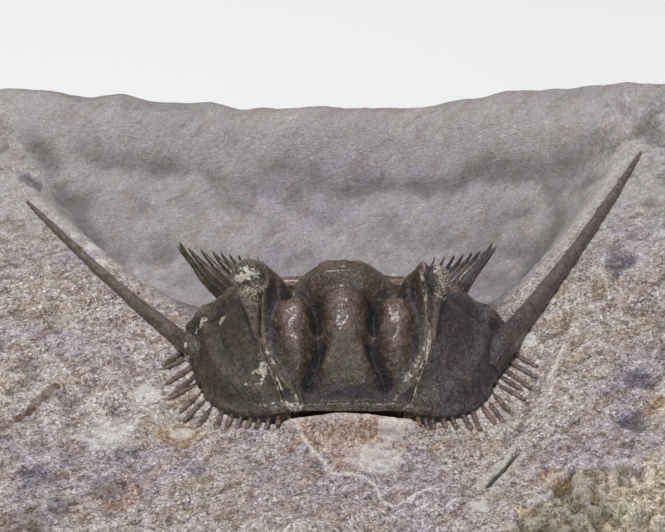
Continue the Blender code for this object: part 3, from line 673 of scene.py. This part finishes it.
def makeSegment(index):
    share = index / (thorax["segments"] - 1)
    yMiddle = thorax["start"] + (thorax["end"] - thorax["start"]) * (index + 0.5) / thorax["segments"]
    crest, ahead, outward = crestFrame(yMiddle)
    middle = crest - outward * thorax["halfThickness"]
    stations = segmentStations(share)
    segment = addSheet(f"thoraxSegment{index + 1:02d}", thorax["columns"], thorax["around"])
    s, turn = corners(segment)[:, 0], (corners(segment)[:, 1] + 1) / 2
    at = np.abs(s) ** 0.9 * (len(stations) - 1)
    across, back, low, long, thick = [along(list(enumerate(values)), at) for values in stations.T]
    fade = ease(1.0, 0.985, np.abs(s))
    shapes = [loopPoint(section, turn) for section in sections.values()]
    toPleura, toSpine = ease(2.0, 3.0, at), ease(6.0, 7.0, at)
    a, b = [blend((blend((ring, pleura), toPleura), spine), toSpine) for ring, pleura, spine in zip(*shapes)]
    across = across * (1.0 + thorax["leftSpread"] * ease(4.5, 7.5, at) * (s < 0) * ease(0.5, 0.0, share))
    co = middle + np.stack([np.sign(s) * across, back, -low], 1)
    co = co + ahead * (a * long * fade)[:, None] + outward * (b * thick * fade)[:, None]
    setCorners(segment, co)
    selectOnly(segment)
    bpy.ops.object.mode_set(mode="EDIT")
    bpy.ops.mesh.select_all(action="SELECT")
    bpy.ops.mesh.remove_doubles(threshold=0.004)
    endEdit()
    return finishShell(segment, thorax["grain"])


# Tail shield

tail = {
    "length": 1.9,
    "halfWidth": 2.9,
    "height": 0.75,
    "thickness": 0.5,
    "spines": [(0.16, 1.5, 4), (0.42, 3.2, 10), (0.62, 1.8, 20), (0.79, 1.6, 32),
               (0.95, 1.3, 48)],  # place along the edge, length and turn in degrees
    "voxel": 0.05,
    "smoothing": 2,
    "columns": 90,
    "rows": 40,
}


def tailPoint(s, t):
    crest, ahead, outward = crestFrame(thorax["end"] + 0.1)
    s, t = np.asarray(s, float), np.asarray(t, float)
    out = np.abs(s)
    across = tail["halfWidth"] * s * (1.0 - 0.42 * t * t)
    back = tail["length"] * t * (1.0 - 0.5 * s * s) + thorax["gap"] + 0.16 * s * s * (1.0 - t)
    ring = 0.45 * ease(0.42, 0.3, out) * ease(1.0, 0.75, t) * (0.8 + 0.2 * np.cos(t * 4 * math.pi))
    ribs = 0.12 * ease(0.35, 0.5, out) * ease(1.0, 0.8, out) * np.cos(3 * math.pi * (t + 0.35 * out))
    height = -0.45 - tail["height"] * (0.75 * s * s + 0.35 * t * t) + ring + ribs
    side = np.stack([across, 0 * across, 0 * across], -1)
    return crest + side + ahead * back[..., None] + outward * height[..., None]


def makeTail():
    shield = addSheet("tailShield", tail["columns"], tail["rows"])
    s, t = corners(shield)[:, 0], (corners(shield)[:, 1] + 1) / 2
    setCorners(shield, tailPoint(s, t))
    inward = -1 if normalsOf(shield)[:, 2].mean() > 0 else 1
    applyModifier(shield, "SOLIDIFY", thickness=tail["thickness"], offset=inward)
    ahead, outward = crestFrame(thorax["end"] + 0.1)[1:]
    spines = []
    for sign in sides.values():
        for at, length, turn in tail["spines"]:
            root = tailPoint(sign * at, 0.97 - 0.25 * at) - outward * tail["thickness"] * 0.5
            lean = math.radians(turn)
            forward = ahead * math.cos(lean) + np.array([sign * math.sin(lean), 0, 0])
            size = 0.2 if length > 2 else 0.14
            shares = np.linspace(0, 1, 8)
            path = [root + forward * (length * share - 0.2 * (1 - share)) for share in shares]
            spines.append(addSpine("tailSpine", path, size * (1.0 - 0.8 * shares**1.3), 3))
    fuse(shield, spines, tail["voxel"], tail["smoothing"])
    return finishShell(shield, thorax["grain"])


# Rock

rock = {
    "halfX": 26.0,
    "halfY": 22.0,
    "columns": 290,
    "rows": 262,
    "wallRows": 16,
    "roughness": 0.5,
    "wallRoughness": 2.2,
    "edgeRounding": 1.1,
    "level": -0.7,  # at the head's front edge, from where the rock rises by its slope
    "slope": 0.165,
    "bank": 0.46,  # height of the bank in front of the head
    "rimY": 26.3,
    "rimHeight": 3.75,
    "rimDip": 0.42,
    "rimFall": 1.0,
    "hollowFloor": [(6.5, 0.8), (8.0, 0.85), (9.0, 0.4), (11.0, -0.95), (13.0, -2.25), (15.0, -3.5),
                    (16.5, -4.1), (18.0, -4.15), (19.5, -3.6), (21.0, -2.4), (23.0, -0.5), (25.0, 1.6),
                    (26.5, 2.3), (30.0, 1.9)],  # (y, z)
    "chipPoint": (10.2, -6.6),
    "chipDown": (0.62, -0.78),
    "chipSlope": 0.42,
    "grain": 0.05,
    "lumps": 0.13,
}


def rockSurface(x, y):  # rock around the fossil, without roughness and without the hollow
    height = rock["level"] + rock["slope"] * above(y) - 0.0017 * above(y) ** 2
    height += 0.5 * hump(x, 2.6) * hump(y + 0.5, 2.4) + 0.02 * np.minimum(0.0, y)
    height = height + rock["bank"] * hump(y + 0.35, 0.45) * ease(3.7, 2.8, np.abs(x - 0.15))
    height += 0.035 * above(np.abs(x), 8.0) + 0.004 * above(x, 10.0) * above(y, 8.0) ** 0.9
    return height - rock["chipSlope"] * above(chipDepth(x, y)) ** 1.15


def chipDepth(x, y):  # how far down the broken corner a point lies
    (px, py), (dx, dy) = rock["chipPoint"], rock["chipDown"]
    return (x - px) * dx + (y - py) * dy


def rearRim(x, y):
    crest = rock["rimHeight"] + 0.0015 * x * x + 0.6 * ease(9.0, 14.0, x) - 0.3 * hump(x + 5.4, 0.8)
    crest = crest - rock["rimDip"] * (hump(x + 2.5, 8.0) + ease(-12.4, -10.6, x) * ease(10.5, 7.0, x))
    crest = crest - 0.25 * hump(x - 5.0, 1.5)
    return crest - rock["rimFall"] * above(y, rock["rimY"])


def hollowEdge(x, y):  # how far a point lies outside the two genal spines, which bound the hollow
    result = np.zeros(np.shape(x))
    for side, sign in sides.items():
        root, line = genalLine(side)
        line = line / np.hypot(*line)
        distance = ((x - root[0]) * line[1] - (y - root[1]) * line[0]) * sign
        result = np.where(x * sign > 0, distance, result)
    return result


def preparedShare(x, y):  # 1 in the hollow that was cleared behind the head, 0 outside it
    return np.where(y > head["length"], ease(-0.6, -3.2, hollowEdge(x, y)), 0.0)


def rockHeight(x, y):
    outside = np.where(y > head["length"] - 1.5, hollowEdge(x, y), 1.0)
    floor = along(rock["hollowFloor"], y) + 0.012 * x * x * ease(9.0, 18.0, y)
    ground = floor + (rockSurface(x, y) - floor) * ease(-4.2, -0.4, outside)
    return ground + (rearRim(x, y) - ground) * ease(rock["rimY"] - 3.5, rock["rimY"] + 0.2, y)


def fossilDistance(x, y):  # rough distance in plan from the fossil
    toHead = np.where(y < head["length"], (edgeShare(x, y) - 1.15) * head["halfWidth"], np.abs(x) - 10.0)
    toSpine = np.where((y > 5.0) & (y < 20.5), np.abs(hollowEdge(x, y)) - 1.3, 5.0)
    toThorax = np.hypot(x / 1.25, y - 12.0) - 7.5
    return np.minimum(np.minimum(np.where(y < 9.0, toHead, 5.0), toSpine), toThorax)


def rockPlan(p, q):  # the block's outline and inside, with more rows and columns round the head
    fine = np.linspace(-1, 1, 401)
    s = np.interp(0.52 * p + 0.48 * p**3, 0.6 * fine + 0.4 * fine**3, fine)
    rows = (16.4 * (q + 0.3) + 4.4 * (q + 0.3) ** 3 - 9.0) / rock["halfY"]
    t = np.interp(np.clip(rows, -1, 1), 0.64 * fine + 0.36 * fine**3, fine)
    x = rock["halfX"] * (0.6 * s + 0.4 * s**3) * (1.0 - 0.09 * t**4 - 0.03 * t)
    y = rock["halfY"] * (0.64 * t + 0.36 * t**3) * (1.0 - 0.1 * s**4 + 0.03 * s)
    uneven = np.maximum(np.abs(s), np.abs(t)) ** 5 * 1.3
    x = x + uneven * np.array([noise.noise(Vector((2.2 * b, 1.7 * a, 5.0))) for a, b in zip(s, t)])
    y = y + uneven * np.array([noise.noise(Vector((2.0 * a, 2.9 * b, 9.0))) for a, b in zip(s, t)])
    return x, y - headFront[1], np.maximum(np.abs(s), np.abs(t))


veins = {  # places in plan, read off
    "white": [
        [(-2.51, -0.41), (-1.64, -2.22), (-0.83, -3.77)],
        [(-0.69, -4.25), (0.07, -4.42), (0.82, -4.62), (1.28, -5.09), (1.6, -6.25), (2.24, -6.79),
         (2.95, -6.25), (3.85, -5.61)],
        [(7.82, -1.9), (7.2, -3.2), (6.25, -5.1)],
        [(10.69, 5.76), (10.1, 3.9), (9.85, 3.2)],
        [(4.7, -6.9), (5.5, -6.1), (6.2, -6.2)],
    ],
    "step": [(11.0, 7.0), (10.69, 5.76), (9.67, 2.95), (8.7, 0.39), (7.9, -2.1), (6.3, -5.3)],
    "rust": [(-16.9, -1.6), (-15.38, 0.8), (-14.2, 2.6)],
    "wedge": [(7.95, -2.2), (7.45, -3.1), (6.55, -4.9)],
    "chip": [(6.2, -12.0), (7.1, -8.8), (8.4, -7.1), (9.3, -5.3), (12.3, -3.9), (14.8, -3.3), (28.0, 0.5)],
    "dark": [(-11.2, -5.3, 1.0), (-13.4, -6.8, 0.7), (-14.7, -8.1, 1.2), (-7.0, -3.7, 0.5), (14.2, 3.1, 0.9),
             (13.8, 0.3, 0.9), (-16.63, 19.9, 0.8), (14.0, 12.0, 1.0), (-10.5, -2.2, 0.7), (-14.5, -4.6, 1.0),
             (-7.6, 12.3, 1.2), (6.6, 13.9, 1.5), (7.9, 12.0, 0.9)],
    "ochre": [(0.4, -0.9, 3.0), (-10.9, -6.0, 1.3), (-14.9, -8.2, 1.2), (9.8, -4.6, 0.9), (4.7, -5.09, 0.2),
              (15.1, 1.0, 0.8), (-8.2, -0.6, 1.2), (8.1, -7.2, 0.6)],
    "pale": [(-9.7, 2.2, 0.9), (-8.0, -0.5, 0.6), (2.2, -0.9, 0.7), (-12.9, 13.8, 0.5), (-12.5, 12.5, 0.4),
             (8.9, 6.4, 0.6), (6.2, -7.0, 0.6), (-11.6, -0.6, 1.6), (1.4, -3.0, 1.3)],
}


def blotches(x, y, spots, wander):
    mask = np.zeros(len(x))
    for xAt, yAt, size in spots:
        mask = np.maximum(mask, ease(1.25, 0.45, np.hypot(x - xAt, y - yAt) / size + wander))
    return mask


def makeRock():
    block = addSheet("rockMatrix", rock["columns"], rock["rows"])
    flat = corners(block)
    x, y, out = rockPlan(flat[:, 0], flat[:, 1])
    z = rockHeight(x, y)
    plain = np.stack([x, y, z], 1)
    away = np.clip(fossilDistance(x, y) / 2.5, 0.0, 1.0)
    near = np.clip(fossilDistance(x, y) / 1.2 + 0.6, 0.25, 1.0)
    coarse = noiseAt(plain, 0.21) + 0.5 * noiseAt(plain, 0.55, 1, 22.0)
    z = z + rock["roughness"] * away * coarse - rock["edgeRounding"] * ease(0.86, 1.0, out) ** 2
    broken = ease(-0.25, 0.35, signedDistance(x, y, veins["chip"]) + 0.9 * noiseAt(plain, 0.6, 3, 2.0))
    inside = preparedShare(x, y)
    z = z + rock["lumps"] * near * noiseAt(plain, 0.9, 3, 7.0) * (1.0 - 0.7 * inside)
    z = z - broken * (0.5 * ease(-0.1, 0.35, noiseAt(plain, 0.8, 4, 31.0)) + 0.1)
    z = z + rock["grain"] * noiseAt(plain, 3.4, 3, 17.0) * (1.0 + 2.4 * broken - 0.7 * inside)
    crack = signedDistance(x, y, *veins["white"], most=9.0)
    wedge = signedDistance(x, y, veins["wedge"])
    step = signedDistance(x, y, veins["step"])
    z = z + ease(0.35, 0.0, np.abs(crack)) * 0.05 - 0.3 * ease(0.3, 0.08, np.abs(wedge))
    z = z + 0.1 * ease(0.25, -0.25, step) * ease(3.0, 0.5, np.abs(step))
    underHead = (y > 0.0) & (y < head["length"] + 0.3) & (edgeShare(x, y) < 0.985)
    z = np.where(underHead, np.minimum(z, -1.15), z)
    setCorners(block, np.stack([x, y, z], 1))
    addRockWalls(block)
    x, y = corners(block).T[:2]
    wander = 0.35 * noiseAt(corners(block), 1.1, 3, 13.0)
    sideCount = len(x) - len(out)
    top = np.append(ease(1.0, 0.95, out), np.zeros(sideCount))
    for name, values, onSides in (("crack", 0.5 + 0.5 * crack, 1), ("wedge", 0.5 + 0.5 * wedge, 1),
                                  ("broken", broken, 0)):
        paint(block, name, np.append(values, np.full(sideCount, onSides)))
    for name in ("dark", "ochre", "pale"):
        paint(block, name, blotches(x, y, veins[name], wander) * top)
    paint(block, "rust", 1.2 * ease(0.27, 0.1, lineDistance(x, y, veins["rust"]) + 0.4 * wander) * top)
    paint(block, "prepared", np.maximum(preparedShare(x, y), 0.8 * ease(9.0, 19.0, y)) * top)
    # painted shade in the rock's hollows, and paler bumps: worn colour and painted highlight
    below = hollowness(block, 12) / 0.06 * blend((0.15, 1.0), top)
    paint(block, "pit", below)
    paint(block, "wearAndHighlight", -below)
    return block


def addRockWalls(block):  # broken sides down to a flat underside
    setCorners(block, corners(block) + [0, 0, headFront[2]])  # heights from the underside for a while
    editOpenEdges(block)
    depths = []
    for step in range(rock["wallRows"]):
        bpy.ops.mesh.extrude_region_move()
        left = 1.0 - (step + 1) / rock["wallRows"]
        shrink = left / (left + 1 / rock["wallRows"])
        bpy.ops.transform.resize(value=(1, 1, shrink), center_override=(0, 0, 0))
        depths.append(1.0 - left)
    bpy.ops.mesh.edge_face_add()
    endEdit()
    co = corners(block)
    first = (rock["columns"] + 1) * (rock["rows"] + 1)
    ring = (len(co) - first) // rock["wallRows"]
    for step, depth in enumerate(depths):
        part = slice(first + step * ring, first + (step + 1) * ring)
        co[part] = rockWallPoint(co[part], depth)
    co[:, 2] -= headFront[2]
    setCorners(block, co)


def rockWallPoint(co, depth):
    centre = np.array([0.0, -headFront[1]])
    outward = co[:, :2] - centre
    outward = outward / np.hypot(*outward.T)[:, None]
    bulge = math.sin(math.pi * depth) - depth**3
    wall = np.stack([co[:, 0], co[:, 1] - centre[1], np.full(len(co), 4.0 * depth)], 1)
    ledge = noiseAt(wall, 0.21) * math.sin(math.pi * depth**0.7)
    wall = np.stack([co[:, 0], co[:, 1], np.full(len(co), 9.0 * depth)], 1)
    chips = np.abs(noiseAt(wall, 0.8, 4, 3.0)) * math.sin(math.pi * min(1.0, depth + 0.15)) ** 0.5
    result = co.copy()
    result[:, :2] += outward * (bulge + rock["wallRoughness"] * ledge - 0.35 * chips)[:, None]
    return result


# Materials

class Value:  # a node's output, to be reckoned with like a number
    def __init__(self, socket):
        self.socket = socket
        self.tree = socket.id_data

    def maths(self, way, first, second=0.0):
        return Value(addNode(self.tree, "ShaderNodeMath", {0: first, 1: second}, operation=way).outputs[0])

    def __add__(self, other):
        return self.maths("ADD", self, other)

    def __sub__(self, other):
        return self.maths("SUBTRACT", self, other)

    def __rsub__(self, other):
        return self.maths("SUBTRACT", other, self)

    def __mul__(self, other):
        return self.maths("MULTIPLY", self, other)

    def __abs__(self):
        return self.maths("ABSOLUTE", self)

    def spread(self, low, high):  # stretches the range from low to high over 0 to 1
        inputs = {0: self, 1: low, 2: high, 3: 0.0, 4: 1.0}
        return Value(addNode(self.tree, "ShaderNodeMapRange", inputs, clamp=True).outputs[0])


def feed(socket, value):
    if isinstance(value, Value):
        value.tree.links.new(value.socket, socket)
    elif socket.type == "RGBA":
        socket.default_value = (*value, 1.0)
    else:
        socket.default_value = value


def addNode(tree, kind, inputs=None, **settings):
    node = tree.nodes.new(kind)
    for key, value in settings.items():
        setattr(node, key, value)
    for key, value in (inputs or {}).items():
        feed(node.inputs[key], value)
    return node


def mixColour(factor, first, second, way="MIX"):
    inputs = {0: factor, 6: first, 7: second}
    return Value(addNode(factor.tree, "ShaderNodeMix", inputs, data_type="RGBA", blend_type=way).outputs[2])


def layered(colour, layers):  # each layer is a mask, a colour and, where it isn't plain mixing, the way
    for mask, tint, *way in layers:
        colour = mixColour(mask, colour, tint, *way)
    return colour


def painted(tree, name):
    return Value(addNode(tree, "ShaderNodeAttribute", attribute_name=name).outputs["Fac"])


def noiseNode(place, scale, detail=3.0, roughness=0.6, distortion=0.0):
    inputs = {"Vector": place, "Scale": scale, "Detail": detail, "Roughness": roughness,
              "Distortion": distortion}
    return Value(addNode(place.tree, "ShaderNodeTexNoise", inputs).outputs["Fac"])


def bumpNode(height, strength, distance, below=None):
    inputs = {"Height": height, "Strength": strength, "Distance": distance}
    if below:
        inputs["Normal"] = below
    return Value(addNode(height.tree, "ShaderNodeBump", inputs).outputs[0])


def makeGrainGroup():  # mineral grains: a shade for each grain, bright and dark specks and a height
    group = bpy.data.node_groups.new("mineralGrain", "ShaderNodeTree")
    for name, default in (("Place", None), ("Size", 6.0), ("Specks", 0.5)):
        kind = "NodeSocketVector" if default is None else "NodeSocketFloat"
        socket = group.interface.new_socket(name=name, in_out="INPUT", socket_type=kind)
        if default is not None:
            socket.default_value = default
    for name in ("Shade", "Bright", "Dark", "Height"):
        group.interface.new_socket(name=name, in_out="OUTPUT", socket_type="NodeSocketFloat")
    given = group.nodes.new("NodeGroupInput").outputs
    place, size, share = Value(given["Place"]), Value(given["Size"]), Value(given["Specks"])
    bent = addNode(group, "ShaderNodeTexNoise", {"Vector": place, "Scale": size, "Detail": 2.0})
    inputs = {0: Value(bent.outputs["Color"]), 1: (0.16, 0.16, 0.16), 2: place}
    bent = Value(addNode(group, "ShaderNodeVectorMath", inputs, operation="MULTIPLY_ADD").outputs[0])
    fine = noiseNode(place, size * 1.3, 3.0, 0.75)
    cells = addNode(group, "ShaderNodeTexVoronoi", {"Vector": bent, "Scale": size}).outputs
    specks = addNode(group, "ShaderNodeTexVoronoi", {"Vector": bent, "Scale": size * 1.6}).outputs
    near = Value(specks["Distance"]).spread(0.42, 0.25)
    speck = Value(specks["Color"])
    results = {
        "Shade": (Value(cells["Color"]) * 0.6 + fine.spread(0.3, 0.7) * 0.4).spread(0.2, 0.8),
        "Bright": (speck + share).spread(0.98, 1.02) * near,
        "Dark": (speck - share).spread(0.02, -0.02) * near,
        "Height": fine + Value(cells["Distance"]) * -0.4,
    }
    output = group.nodes.new("NodeGroupOutput")
    for name, value in results.items():
        feed(output.inputs[name], value)
    return group


def newMaterial(name):
    material = bpy.data.materials.new(name)
    material.use_nodes = True
    tree = material.node_tree
    place = Value(addNode(tree, "ShaderNodeTexCoord").outputs["Object"])
    millimetres = addNode(tree, "ShaderNodeMapping", {"Vector": place, "Scale": (1000, 1000, 1000)})
    return material, tree.nodes["Principled BSDF"].inputs, Value(millimetres.outputs[0])


def addGrains(grain, place, size, specks):
    inputs = {"Place": place, "Size": size, "Specks": specks}
    outputs = addNode(place.tree, "ShaderNodeGroup", node_tree=grain)
    for name, value in inputs.items():
        feed(outputs.inputs[name], value)
    return {socket.name: Value(socket) for socket in outputs.outputs}


def inPlan(place):  # its x and y
    parted = addNode(place.tree, "ShaderNodeSeparateXYZ", {"Vector": place}).outputs
    return Value(parted[0]), Value(parted[1])


def ramp(value, stops):  # a colour for each value, from (place, colour) stops
    node = addNode(value.tree, "ShaderNodeValToRGB", {"Fac": value})
    points = node.color_ramp.elements
    while len(points) < len(stops):
        points.new(0.5)
    for point, (place, colour) in zip(points, stops):
        point.position = place
        point.color = (*colour, 1.0)
    return Value(node.outputs["Color"])


shellLook = {
    "olive": (0.047, 0.032, 0.005),
    "brown": (0.090, 0.054, 0.029),
    "lilac": (0.052, 0.033, 0.038),
    "furrow": (0.031, 0.020, 0.033),
    "pit": (0.002, 0.002, 0.004),
    # paler crests and swellings: worn colour and painted highlight
    "wearAndHighlight": (0.36, 0.23, 0.20),
    "speck": (0.55, 0.50, 0.45),
    "eye": [(0.15, (0.09, 0.06, 0.03)), (0.4, (0.21, 0.145, 0.055)), (0.58, (0.40, 0.34, 0.24)),
            (0.78, (0.62, 0.57, 0.48))],  # ochre grains, from dark to pale
    "glass": (0.020, 0.014, 0.008),
    "pale": (0.55, 0.50, 0.42),
    "dust": (0.150, 0.125, 0.105),
    "grain": 12.0,  # grains per millimetre
    "specks": 0.15,
    "coat": 0.38,
    "coatRoughness": 0.16,
    "specular": 0.6,
}


def makeShellMaterial(grain):
    look = shellLook
    material, shader, place = newMaterial("fossilShell")
    tree = place.tree
    broad = noiseNode(place, 0.5, 3.0, 0.6, 0.4)
    middle = noiseNode(place, 2.0, 4.0, 0.65)
    uneven = middle - 0.5
    grains = addGrains(grain, place, look["grain"], look["specks"])
    shade = grains["Shade"].spread(0.25, 0.75)
    hollow, dusty, glassy = [painted(tree, name) for name in ("furrow", "dusty", "glassy")]
    x, y = inPlan(place)
    across = x + (broad - 0.5) * 3.0
    centre = abs(across).spread(3.9, 2.9) * (y + uneven * 2.0).spread(-7.4, -5.8)
    crest = painted(tree, "crest") + uneven * 2.0
    chipsAndHighlights = painted(tree, "bright") + (shade - 0.5) * 0.3
    colour = layered(mixColour(across.spread(3.2, 4.6), look["olive"], look["lilac"]), [
        (centre, look["brown"]),
        (middle.spread(0.5, 0.66) * 0.5, look["lilac"]),
        # painted shade in the furrows, violet
        (hollow.spread(0.5, 0.75) * 0.9, look["furrow"]),
        # paler crests: worn colour and painted highlight
        (crest.spread(0.1, 1.2) * 0.5, look["wearAndHighlight"]),
        (hollow.spread(0.42, 0.0) * middle.spread(0.3, 0.6) * 0.75, look["wearAndHighlight"]),  # painted highlight on the swellings
        # painted shade, near black, in the deepest furrows and pits
        (hollow.spread(0.72, 1.0), look["pit"]),
        (dusty * 0.75, look["dust"]),
        (painted(tree, "eyeball") * 0.85, ramp(grains["Shade"], look["eye"])),
        (glassy * 0.9, look["glass"]),
        ((1.0 - shade) * 0.6, look["pit"]),  # dark grains
        (grains["Bright"] * 0.65, look["speck"]),
        # pale chips and lines, and painted highlights on the cheeks' rims and the left eye
        (chipsAndHighlights.spread(0.35, 0.7), look["pale"]),
    ])
    roughness = middle * 0.3 + 0.12 + dusty * 0.25 + hollow.spread(0.6, 0.85) * 0.4 - glassy * 0.2
    grainy = bumpNode(grains["Height"], 0.8, 0.00005)
    inputs = {"Base Color": colour, "Roughness": roughness,
              "Coat Weight": hollow.spread(0.68, 0.5) * look["coat"],
              "Normal": bumpNode(noiseNode(place, 3.2, 4.0, 0.6), 0.6, 0.0002, grainy),
              "Coat Roughness": look["coatRoughness"], "Specular IOR Level": look["specular"]}
    for name, value in inputs.items():
        feed(shader[name], value)
    return material


rockLook = {
    "grains": [(0.0, (0.09, 0.07, 0.06)), (0.22, (0.26, 0.205, 0.175)), (0.5, (0.48, 0.405, 0.365)),
               (0.7, (0.56, 0.49, 0.48)), (0.86, (0.80, 0.73, 0.68)), (1.0, (1.0, 0.97, 0.95))],
    "prepared": (0.48, 0.45, 0.462),
    "lilac": (0.86, 0.82, 1.06),  # tints, as shares of the colour below them
    "brown": (0.78, 0.67, 0.52),
    "blue": (0.36, 0.37, 0.48),
    "ochre": (1.0, 0.84, 0.58),
    "green": (0.64, 0.60, 0.38),
    "cream": (1.4, 1.38, 1.05),
    "rim": (0.80, 0.80, 0.75),
    "shady": (0.76, 0.75, 0.77),
    "fleck": (0.13, 0.125, 0.15),
    "light": (0.88, 0.84, 0.82),
    "dark": (0.05, 0.042, 0.038),
    "rust": (0.10, 0.04, 0.018),
    "vein": (0.82, 0.77, 0.70),
    "grain": 9.0,  # grains per millimetre
    "flecks": 3.4,  # and larger flecks
    "specks": 0.17,
    "specular": 0.3,
    "streaks": math.radians(39),  # how far the rock's layering runs round from the x axis
}


def lineMask(tree, name, wander, inner, outer):  # a thin line where a painted distance is nothing
    far = abs(painted(tree, name) - 0.5) * 2.0 + wander * 0.12
    return far.spread(outer, inner)


def makeRockMaterial(grain):
    look = rockLook
    material, shader, place = newMaterial("limestone")
    tree = place.tree
    inputs = {"Vector": place, "Rotation": (0, 0, look["streaks"]), "Scale": (2.4, 0.8, 1.0)}
    streaked = Value(addNode(tree, "ShaderNodeMapping", inputs, vector_type="TEXTURE").outputs[0])
    broad = noiseNode(place, 0.14, 4.0, 0.6, 0.6)
    middle = noiseNode(streaked, 1.1, 5.0, 0.65, 0.4)
    cool = noiseNode(streaked, 2.2, 4.0, 0.7, 0.6)
    fine = noiseNode(place, 4.2, 5.0, 0.75)
    grains, flecks = [addGrains(grain, place, look[size], look["specks"]) for size in ("grain", "flecks")]
    smooth = painted(tree, "prepared")
    patchy, rough = 1.0 - smooth * 0.5, 1.0 - smooth * 0.75
    x, y = inPlan(place)
    uneven = middle - 0.5
    backward = y + broad * 3.0
    rightward = x + uneven * 6.0
    # where painted shade falls on the right of the bowl
    bowlRightShade = rightward.spread(4.0, 7.0) * backward.spread(17.0, 13.0) * rightward.spread(12.0, 9.5)
    tinted = "MULTIPLY"
    layers = [
        (smooth * 0.8, look["prepared"]),
        (backward.spread(17.6, 19.6), look["rim"], tinted),
        # painted shade, darker: on the bowl's right, close behind the head and at the left rear
        (bowlRightShade * smooth, look["shady"], tinted),
        (backward.spread(7.5, 3.5) * smooth.spread(0.0, 0.4), look["shady"], tinted),
        (rightward.spread(-4.0, -9.0) * backward.spread(17.2, 19.0) * 0.5, look["shady"], tinted),
        (broad.spread(0.44, 0.6) * 0.75 * patchy, look["lilac"], tinted),
        (middle.spread(0.47, 0.62) * 0.8 * patchy, look["brown"], tinted),
        (cool.spread(0.57, 0.66) * 0.75 * patchy, look["blue"], tinted),
        (cool.spread(0.4, 0.3) * 0.4, look["light"]),
    ]
    ragged = (middle + fine - 1.0) * 2.2
    corner = mixColour((x + uneven * 9.0).spread(11.5, 13.5), look["green"], look["cream"])
    for name, most, *tint in (("broken", 0.9, corner, tinted), ("ochre", 0.7, look["ochre"], tinted),
                              ("dark", 0.8, look["blue"], tinted), ("pale", 0.5, look["light"]),
                              ("rust", 0.85, look["rust"])):
        mark = painted(tree, name)
        layers.append(((mark + ragged).spread(0.3, 0.75) * most * mark.spread(0.02, 0.15), *tint))
    wander = fine - 0.5
    crack = lineMask(tree, "crack", wander * 1.6 + middle.spread(0.5, 0.62) * -0.5, 0.03, 0.09)
    layers += [
        (flecks["Dark"] * rough * (painted(tree, "broken") * 0.4 + 0.55), look["fleck"]),
        (flecks["Bright"] * rough * 0.4, look["light"]),
        (grains["Bright"] * rough * 0.8, look["light"]),
        (grains["Dark"] * rough * 0.65, look["dark"]),
        # painted shade in the hollows
        (painted(tree, "pit") * 0.5, look["dark"]),
        # paler bumps: worn colour and painted highlight
        (painted(tree, "wearAndHighlight") * rough * 0.25, look["light"]),
        (crack * cool.spread(0.38, 0.5) * 0.72, look["vein"]),  # with gaps
        (lineMask(tree, "wedge", wander, 0.08, 0.16) * 0.85, look["dark"]),
    ]
    inputs = {"Base Color": layered(ramp(grains["Shade"] + wander * 0.9, look["grains"]), layers),
              "Roughness": 0.88 - grains["Bright"] * 0.4,
              "Normal": bumpNode(fine, 0.7, 0.0002, bumpNode(grains["Height"], 0.8, 0.0001)),
              "Specular IOR Level": look["specular"]}
    for name, value in inputs.items():
        feed(shader[name], value)
    return material


# Stage

view = {
    "distance": 0.18,
    "elevation": math.radians(30),
    "pixel": 0.000049,  # metres across the object per pixel of the photograph
    "frontRow": 411,  # the photograph's row of the head's front edge
    "middleRow": 266,
    "columns": 665,
    "middleX": -0.00071,
    "sensor": 36,
    "scalePlane": 0.004,  # how far behind the front edge the pixel size holds
}

stage = {
    "lights": {"softTop": ((-0.05, -0.03, 0.30), 0.11, 0.80), "frontFill": ((0.08, -0.30, 0.22), 0.2, 0.24)},
    "floor": (0.86, 0.86, 0.87),
    "floorRoughness": 0.8,
    "sky": (0.98, 0.99, 1.0),
    "skyStrength": 0.22,
}


def addCamera():
    ahead = Vector((0, math.cos(view["elevation"]), -math.sin(view["elevation"])))
    upward = Vector((0, math.sin(view["elevation"]), math.cos(view["elevation"])))
    target = Vector((view["middleX"], headFront[1] / 1000, headFront[2] / 1000))
    target += upward * (view["frontRow"] - view["middleRow"]) * view["pixel"]
    data = bpy.data.cameras.new("camera")
    camera = bpy.data.objects.new("camera", data)
    bpy.context.collection.objects.link(camera)
    camera.location = target - ahead * view["distance"]
    camera.rotation_euler = ahead.to_track_quat("-Z", "Y").to_euler()
    data.sensor_width = view["sensor"]
    data.lens = view["sensor"] * (view["distance"] + view["scalePlane"]) / (view["columns"] * view["pixel"])
    data.clip_start = 0.001
    bpy.context.scene.camera = camera


def addLight(name, place, size, power):
    data = bpy.data.lights.new(name, "AREA")
    data.shape = "DISK"
    data.size = size
    data.energy = power
    light = bpy.data.objects.new(name, data)
    bpy.context.collection.objects.link(light)
    light.location = place
    ahead = Vector((0, 0, headFront[2] / 1000)) - Vector(place)
    light.rotation_euler = ahead.to_track_quat("-Z", "Y").to_euler()


def addStage():
    bpy.ops.object.select_all(action="DESELECT")
    bpy.ops.mesh.primitive_plane_add(size=4, location=(0, 0, 0))
    floor = bpy.context.object
    floor.name = "floor"
    material, shader = newMaterial("paleFloor")[:2]
    feed(shader["Base Color"], stage["floor"])
    feed(shader["Roughness"], stage["floorRoughness"])
    floor.data.materials.append(material)
    for name, light in stage["lights"].items():
        addLight(name, *light)
    world = bpy.data.worlds.new("studio")
    world.use_nodes = True
    background = world.node_tree.nodes["Background"].inputs
    feed(background["Color"], stage["sky"])
    feed(background["Strength"], stage["skyStrength"])
    bpy.context.scene.world = world
    bpy.context.scene.view_settings.view_transform = "Standard"


# Build

grain = makeGrainGroup()
shellMaterial = makeShellMaterial(grain)
rockMaterial = makeRockMaterial(grain)
settle(makeRock(), rockMaterial, "limestone", "matrix")
settle(makeCranidium(), shellMaterial, "shell", "cranidium")
for side in sides:
    settle(makeFreeCheek(side), shellMaterial, "shell", "free_cheek_" + side)
for index in range(thorax["segments"]):
    settle(makeSegment(index), shellMaterial, "shell", f"thorax_segment_{index + 1:02d}")
settle(makeTail(), shellMaterial, "shell", "pygidium")
addCamera()
addStage()
print("stage ready")
